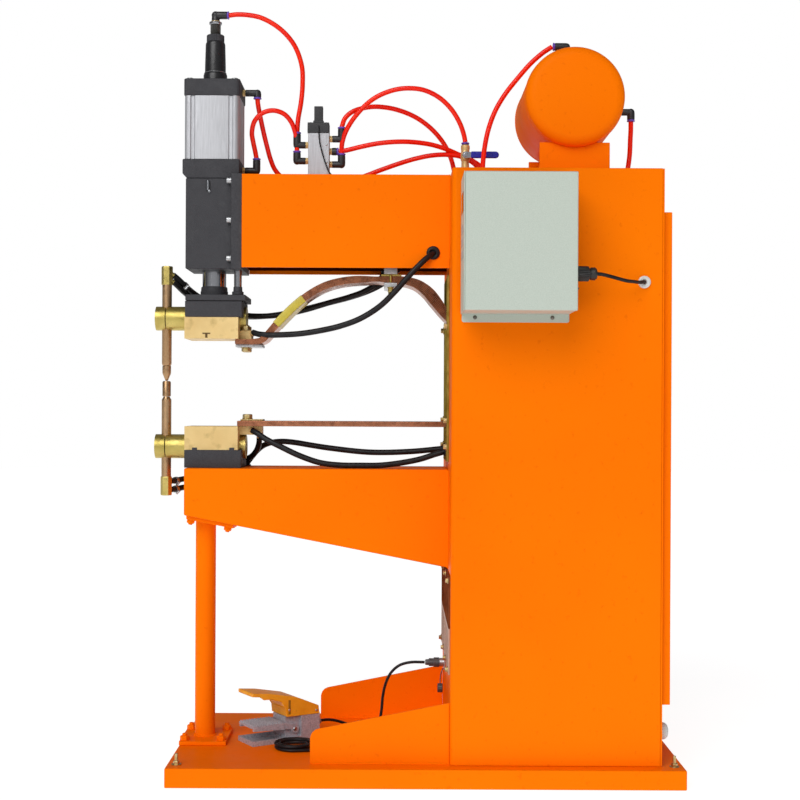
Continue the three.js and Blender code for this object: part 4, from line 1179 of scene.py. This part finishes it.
def make_holders():
    for side in ("insulator_block", "clamp_block"):
        refine(f"upper_{side}", 1.8, angle=40)
        refine(f"lower_{side}", 1.8, angle=40)
    for node in ("upper_electrode_bar", "lower_electrode_bar"):
        refine(node, 1.6, angle=40)
    built("upper_t_slot", None,
          (box, (-457, -55.15, 878.6), (-441, -54, 881.4)),
          (box, (-451.4, -55.15, 871), (-446.6, -54, 879)),
          body="ram", look="slot_shadow")
    built("insulator_keys", "black_coating",
          *[(box, (x - 5, -57, 640.6), (x + 5, 57, 646)) for x in (-472, -396)],
          bevel=0.6)


# ---------------------------------------------------------------- secondary circuit


SHUNT_ROUTE = [
    (-392, 0, 864), (-372, 0, 864), (-352, 0, 864.5), (-336, 0, 868), (-321, 0, 884), (-300, 0, 908),
    (-270, 0, 938), (-240, 0, 962), (-205, 0, 981), (-165, 0, 991), (-120, 0, 994), (-72, 0, 993.6),
    (-40, 0, 991), (-17, 0, 984), (5, 0, 968), (24, 0, 945), (42, 0, 921), (60, 0, 903), (82, 0, 895.5),
    (120, 0, 895),
]
FOILS = 8
# Shares of its length at which the bracket holds it, and at which it turns down to the column.
AT_BRACKET, AT_TURN = 0.555, 0.77


def bump_at(share, centre, width):
    """One at the centre, and fading to nothing within about twice the width."""
    return math.exp(-((share - centre) / width) ** 2)


def foil_sections(index):
    """A foil's section along the shunt.

    The foils are pressed together at both ends and in the bracket, lie loosely between them, and part where
    the shunt turns down to the column.
    """
    def section(share):
        loose = 0.68 * (1 - bump_at(share, 0, 0.1)) - 0.55 * bump_at(share, AT_BRACKET, 0.035)
        pitch = 1.2 + loose + 1.25 * bump_at(share, AT_TURN, 0.08) - 0.6 * bump_at(share, 1, 0.1)
        half = 0.44 * min(pitch, 1.9)
        middle = (index - (FOILS - 1) / 2) * pitch
        return [(-40, middle - half), (40, middle - half), (40, middle + half), (-40, middle + half)]
    return section


def make_shunt():
    path = smooth_path(SHUNT_ROUTE, 5)
    foils = [(sweep, path, foil_sections(index), BACK) for index in range(FOILS)]
    shunt = built("shunt_foils", "copper", *foils, body=None, replaces=("shunt",), angle=50)
    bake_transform(shunt)
    covered = [p for p in path if -309 < p.x < -249]
    wrap = built("shunt_sleeve", None, (sweep, covered, rounded(-42.4, 42.4, -8.4, 8.4, 2.4, 3), BACK),
                 body=None, look="yellow_sleeve")
    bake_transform(wrap)


def make_shunt_bracket():
    built("shunt_clamp_jaws", "plated_steel",
          (box, (-86, -50, 1003.6), (-58, 50, 1021.2)),
          (box, (-86, -50, 976.5), (-58, 50, 986.4)),
          bevel=1.6, replaces=("shunt_clamp",))
    sides = (-45.5, 45.5)
    built("shunt_clamp_hardware", "aged_brass",
          (box, (-92, -46, 1000), (-50, 46, 1003.4)),
          *[(hex_bolt, (-72, y, 976.5), DOWN, 10, 7, 7) for y in sides],
          *[(lathe, disc(3, 974, 1003), (-72, y, 0), UP, 24) for y in sides],
          bevel=0.5)


def make_contacts():
    refine("lower_conductor_bar", 1.0)
    built("lower_contact_plate", "plated_steel", (box, (-382, -22, 701.2), (-335.5, 22, 704.2)),
          bevel=0.5, look="yellow_zinc")
    built("lower_contact_bolt", "plated_steel", (hex_bolt, (-369.5, 0, 704.3), UP, 18, 8.6, 11),
          bevel=0.5, look="yellow_zinc")
    built("upper_contact_plate", "plated_steel", (box, (-392, -30, 853.2), (-337, 30, 858.8)),
          body="ram", bevel=0.6)
    ends = ((853.1, DOWN, 16, 7.4, 10), (888.1, UP, 15, 8, 10, 3))
    built("upper_contact_bolts", "plated_steel",
          *[(hex_bolt, (-372, y, z), *size) for y, (z, *size) in product((-15, 15), ends)],
          body="ram", bevel=0.5, look="yellow_zinc")
    built("upper_lug_barb", "brass_block", (hose_barb, (-357, -20, 882), toward(0.2, -0.95, 0.1), 8),
          body="ram")
    built("lower_lug_barbs", "brass_block",
          (hose_barb, (-357, -20, 681), toward(0.1, -1, 0), 8),
          (hose_barb, (-346, 12, 672), DOWN, 8))


def make_inside():
    blocks = ("transformer_core", "transformer_coil", "secondary_casting", "thyristor_module")
    refine_all(dict.fromkeys(blocks, 1.2))
    built("transformer_bolts", "plated_steel",
          *[(hex_bolt, (x, y, 930), UP, 16, 8, 12, 4) for x, y in product((225, 315), (-140, 140))],
          *[(hex_bolt, (x, y, 900.6), UP, 16, 8, 11) for x, y in product((80, 130), (-22, 22))],
          bevel=0.5)


# ---------------------------------------------------------------- air circuit


def make_solenoid_valve():
    built("valve_body", "cast_aluminium",
          (prism, rounded(-245, -201, -15, 15, 1.2, 2), 1207.2, 1298.8, "Z"),
          replaces=("solenoid_valve",), bevel=0.5)
    built("valve_coil_and_connector", "dark_plastic",
          (box, (-246.5, -15.6, 1299), (-201.5, 15.6, 1321)),
          (box, (-244, -14, 1203.4), (-202, 14, 1207)),
          (box, (-233, -9, 1320), (-215, 9, 1356)),
          (box, (-235, -11, 1319), (-213, 11, 1326)),
          bevel=1.2)
    built("valve_screws", "plated_steel",
          *[(pan_screw, (-207, -15, z), FRONT, 2.6) for z in (1275, 1238)],
          *[(pan_screw, (x, y, 1321), UP, 2.4) for x, y in product((-240, -208), (-10, 10))],
          (lathe, disc(3, -2, 0.3), (-224, 0, 1355.6), UP, 24))


def make_frame_fittings():
    fittings = Fittings("frame", "air_fitting")
    for x, z, nipple, corner, port, length in (
        (-382.6, 1384, RIGHT, -352, DOWN, 12), (-382.6, 1222, RIGHT, -353, UP, 25),
        (-245, 1276, LEFT, -269, UP, 26), (-245, 1243, LEFT, -269, UP, 20),
        (-201, 1289, RIGHT, -176, UP, 24), (-201, 1236, RIGHT, -176, UP, 22),
    ):
        fittings.elbow((x, 0, z), nipple, (corner, 0, z), port, length)
    fittings.nut((-201, 0, 1263), RIGHT, 7.4, 10)
    fittings.port((-196, 0, 1263), RIGHT, 13)
    fittings.elbow((286, -50, 1450), UP, (286, -50, 1471), LEFT, 27)
    fittings.elbow((394, 0, 1348), RIGHT, (427, 0, 1348), DOWN, 19)
    fittings.port((82, 0, 1270), UP, 12)
    fittings.finish()


def make_ball_valve():
    x, spindle = 82, 1254.5
    barrel = [(0, 1212), (8.2, 1212), (9, 1216), (9, 1230), (8, 1234), (8, 1244), (9.4, 1246), (9.8, 1254),
              (9.4, 1262), (8.6, 1264), (8.6, 1268), (9.4, 1270), (9.2, 1276), (7.6, 1278), (0, 1278)]
    built("ball_valve_fine", "brass_block",
          (lathe, disc(9.6, 1195.4, 1213), (x, 0, 0), UP, 6),
          (lathe, barrel, (x, 0, 0)),
          (lathe, disc(5, 0, 7), (x, -8, spindle), FRONT, 32),
          bevel=0.3, replaces=("ball_valve",))
    strip = arc((x, spindle), 7, 90, 270, 8) + [(100, spindle - 5), (100, spindle + 5)]
    built("valve_lever_strip", "chrome_steel",
          (prism, strip, -19.8, -17.4),
          (hex_bolt, (x, -19.8, spindle), FRONT, 8, 2.2),
          body="supply_lever", bevel=0.4)
    grip = [(93, spindle - 7), *arc((144, spindle), 7, -90, 90, 10), (93, spindle + 7)]
    built("valve_lever_grip", "blue_grip", (prism, grip, -22, -15.4),
          body="supply_lever", bevel=2.2, segments=3, replaces=("valve_lever",))


def make_tank():
    x, z, radius, half = 295, 1353, 99.5, 145
    flat, knuckle = radius - 22, 18
    dome = [(0, -half), (flat * 0.5, 0.6 - half), (flat * 0.85, 2 - half)]
    for angle in range(0, 91, 9):
        turn = math.radians(angle)
        dome.append((flat + 22 * math.sin(turn), 3 - half + knuckle * (1 - math.cos(turn))))
    seam = [(radius - 0.6, -2.6), (radius + 0.5, -1.8), (radius + 0.8, 0), (radius + 0.5, 1.8),
            (radius - 0.6, 2.6), (radius - 0.6, -2.6)]
    built("air_tank_fine", "orange_paint",
          (lathe, dome + [(r, -h) for r, h in reversed(dome)], (x, 0, z), BACK, 144),
          *[(lathe, seam, (x, y, z), BACK, 144) for y in (30 - half, half - 30)],
          (lathe, [(0, 0), (11, 0), (11, 6), (9, 7), (0, 7)], (286, -50, z + 85), UP, 48),
          (lathe, [(0, 0), (11, 0), (11, 7), (9, 8), (0, 8)], (x + radius - 8, 0, 1348), RIGHT, 48),
          (lathe, disc(9, 0, 5), (x, 60, z - radius + 2), DOWN, 40),
          replaces=("air_tank",), angle=40)
    refine("tank_cradle", 1.4)
    built("cradle_bolts", "plated_steel",
          *[(hex_bolt, (x + dx, y, 1199.4), UP, 13, 7, 10) for dx, y in product((-45, 45), (-96, 96))],
          bevel=0.4)


# ---------------------------------------------------------------- controller


BOX_RIGHT = 274.5


def make_control_box():
    left, right, front, bottom, top = 66, BOX_RIGHT, -347, 910.3, 1167.3
    built("control_box_shell", "grey_enamel",
          (box, (left, -338, bottom + 1), (right - 0.6, -223.4, top - 0.8)),
          bevel=1.6, replaces=("control_box",))
    built("control_box_cover", "grey_enamel", (box, (left - 0.2, front, bottom), (right, -336.5, top)),
          bevel=2.4, segments=3)
    flange = [*arc((right - 5, 899.3), 4, 0, -90, 5), *arc((left + 4, 899.3), 4, -90, -180, 5),
              (left, 1175), (right - 1, 1175)]
    built("control_box_flange", "grey_enamel", (prism, flange[::-1], -223.3, -220.4), bevel=0.8)
    built("control_box_screws", "plated_steel",
          *[(pan_screw, (x, -223.2, z), FRONT, 4) for x, z in product((91.5, 241), (904.7, 1171))],
          look="dull_zinc")


def make_control_connector():
    socket = (BOX_RIGHT - 1, -285, 984)
    collar = [(0, 0), (14.5, 0), (14.5, 3), (12.4, 4), (12.4, 7), (0, 7)]
    sleeve = [(0, 6), (13, 6), (14, 8), (14, 27), (12.8, 29), (0, 29)]
    tail = [(0, 28), (10.4, 28), (10.4, 31), (12, 32), (12.4, 40), (9, 44), (5, 45), (0, 45)]
    built("control_connector", None,
          (lathe, collar, socket, RIGHT, 48),
          (lathe, sleeve, socket, RIGHT, 96, 24, 0.035),
          (lathe, tail, socket, RIGHT, 48),
          look="connector_shell")


def make_power_switch():
    back, face = BOX_RIGHT - 0.4, BOX_RIGHT + 1
    built("rocker_bezel", "dark_plastic",
          *[(box, (back, -308.6, z), (face, -291.4, z + 1.6)) for z in (936, 958.4)],
          *[(box, (back, y, 937), (face, y + 1.6, 959)) for y in (-308.6, -293)],
          (box, (BOX_RIGHT - 1, -307.4, 937.2), (BOX_RIGHT + 0.1, -292.6, 958.8)),
          bevel=0.4)
    refine("power_rocker", 0.7)


def make_cable_gland():
    bush = [(4.2, 0), (4.2, 3.4), (5.6, 5), (9.6, 5.4), (11.8, 4.2), (12.2, 0), (4.2, 0)]
    built("cable_gland", None, (lathe, bush, (418.3, COLUMN_FRONT, 974.5), FRONT, 56), look="white_nylon")


def make_operator_panel():
    refine("operator_panel", 0.6, slot="grey_enamel")
    face = 63.6
    built("panel_display", None, (prism, rounded(-318, -252, 1096, 1134, 4), face - 0.5, face, "X"),
          look="display_window")
    keys = [rounded(y, y + 17, z, z + 15, 3) for z, y in product((1058, 1034, 1010), (-318, -294, -270))]
    built("panel_membrane_keys", None, *[(prism, key, face - 0.7, face, "X") for key in keys],
          look="membrane")


# ---------------------------------------------------------------- foot switch


def make_foot_switch():
    refine_all({"pedal_body": 1.8, "pedal_guard": 1.8, "treadle": 1.4})
    turn = PEDAL.to_3x3()
    gland = [(0, 0), (9, 0), (9, 5), (8.4, 6), (8.4, 11), (7, 16), (4.4, 19.6), (0, 19.6)]
    built("foot_switch_gland", "black_rubber",
          (lathe, gland, PEDAL @ Vector((77.3, 0, 28)), turn @ RIGHT, 48, 16, 0.03))
    rib = [(-2.2, 39.3), (2.2, 39.3), (0.6, 42.4), (-0.6, 42.4)]
    steps = [-72.5 + 6.4 * i for i in range(11)]
    built("treadle_ribs", "pedal_grey",
          *[(prism, [(step + x, z) for x, z in rib], -32.5, 32.5, "Y", PEDAL) for step in steps],
          body="foot_treadle", bevel=0.2)
    built("treadle_pivot_screws", "plated_steel",
          *[(pan_screw, PEDAL @ Vector((20, 33.4 * side, 26)), turn @ (BACK * side), 4.6)
             for side in (-1, 1)],
          body="foot_treadle")
    # Painted shade: thin darker yellow strips on both sides of the guard stand for the shadow in its
    # grooves.
    groove = [(4, 57), (9, 57), (9, 86), (4, 87)]
    built("guard_side_groove_shade", None,
          *[(prism, groove, y, y + 0.3, "Y", PEDAL) for y in (-34.25, 33.95)],
          look="painted_groove_shade")
    heads = product(((6.5, 66), (70, 59)), (-1, 1))
    built("guard_screws", "plated_steel",
          *[(pan_screw, PEDAL @ Vector((x, 34 * side, z)), turn @ (BACK * side), 2.8)
             for (x, z), side in heads])
    edge = [(0.5, 33.6), (77.2, 33.6), (77.2, 34.6), (0.5, 34.6)]
    built("guard_rim", "pedal_yellow",
          *[(prism, [(x, y * side) for x, y in edge[::side]], 52.5, 55.5, "Z", PEDAL) for side in (-1, 1)],
          bevel=0.3)


# ---------------------------------------------------------------- assembly


make_camera()
make_world()
make_lights()
make_floor()
make_pedal_cord()
make_air_hoses()
make_water_hoses()
make_arm_grommet()
make_cables()
make_base()
make_column()
make_gland()
make_pillar()
make_panels()
make_cylinder()
make_adjuster()
make_retract_rod()
make_head()
make_ram()
make_electrodes()
make_water_fittings()
make_holders()
make_shunt()
make_shunt_bracket()
make_contacts()
make_inside()
make_solenoid_valve()
make_frame_fittings()
make_ball_valve()
make_tank()
make_control_box()
make_control_connector()
make_power_switch()
make_cable_gland()
make_operator_panel()
make_foot_switch()

bpy.context.scene.view_settings.view_transform = "Standard"
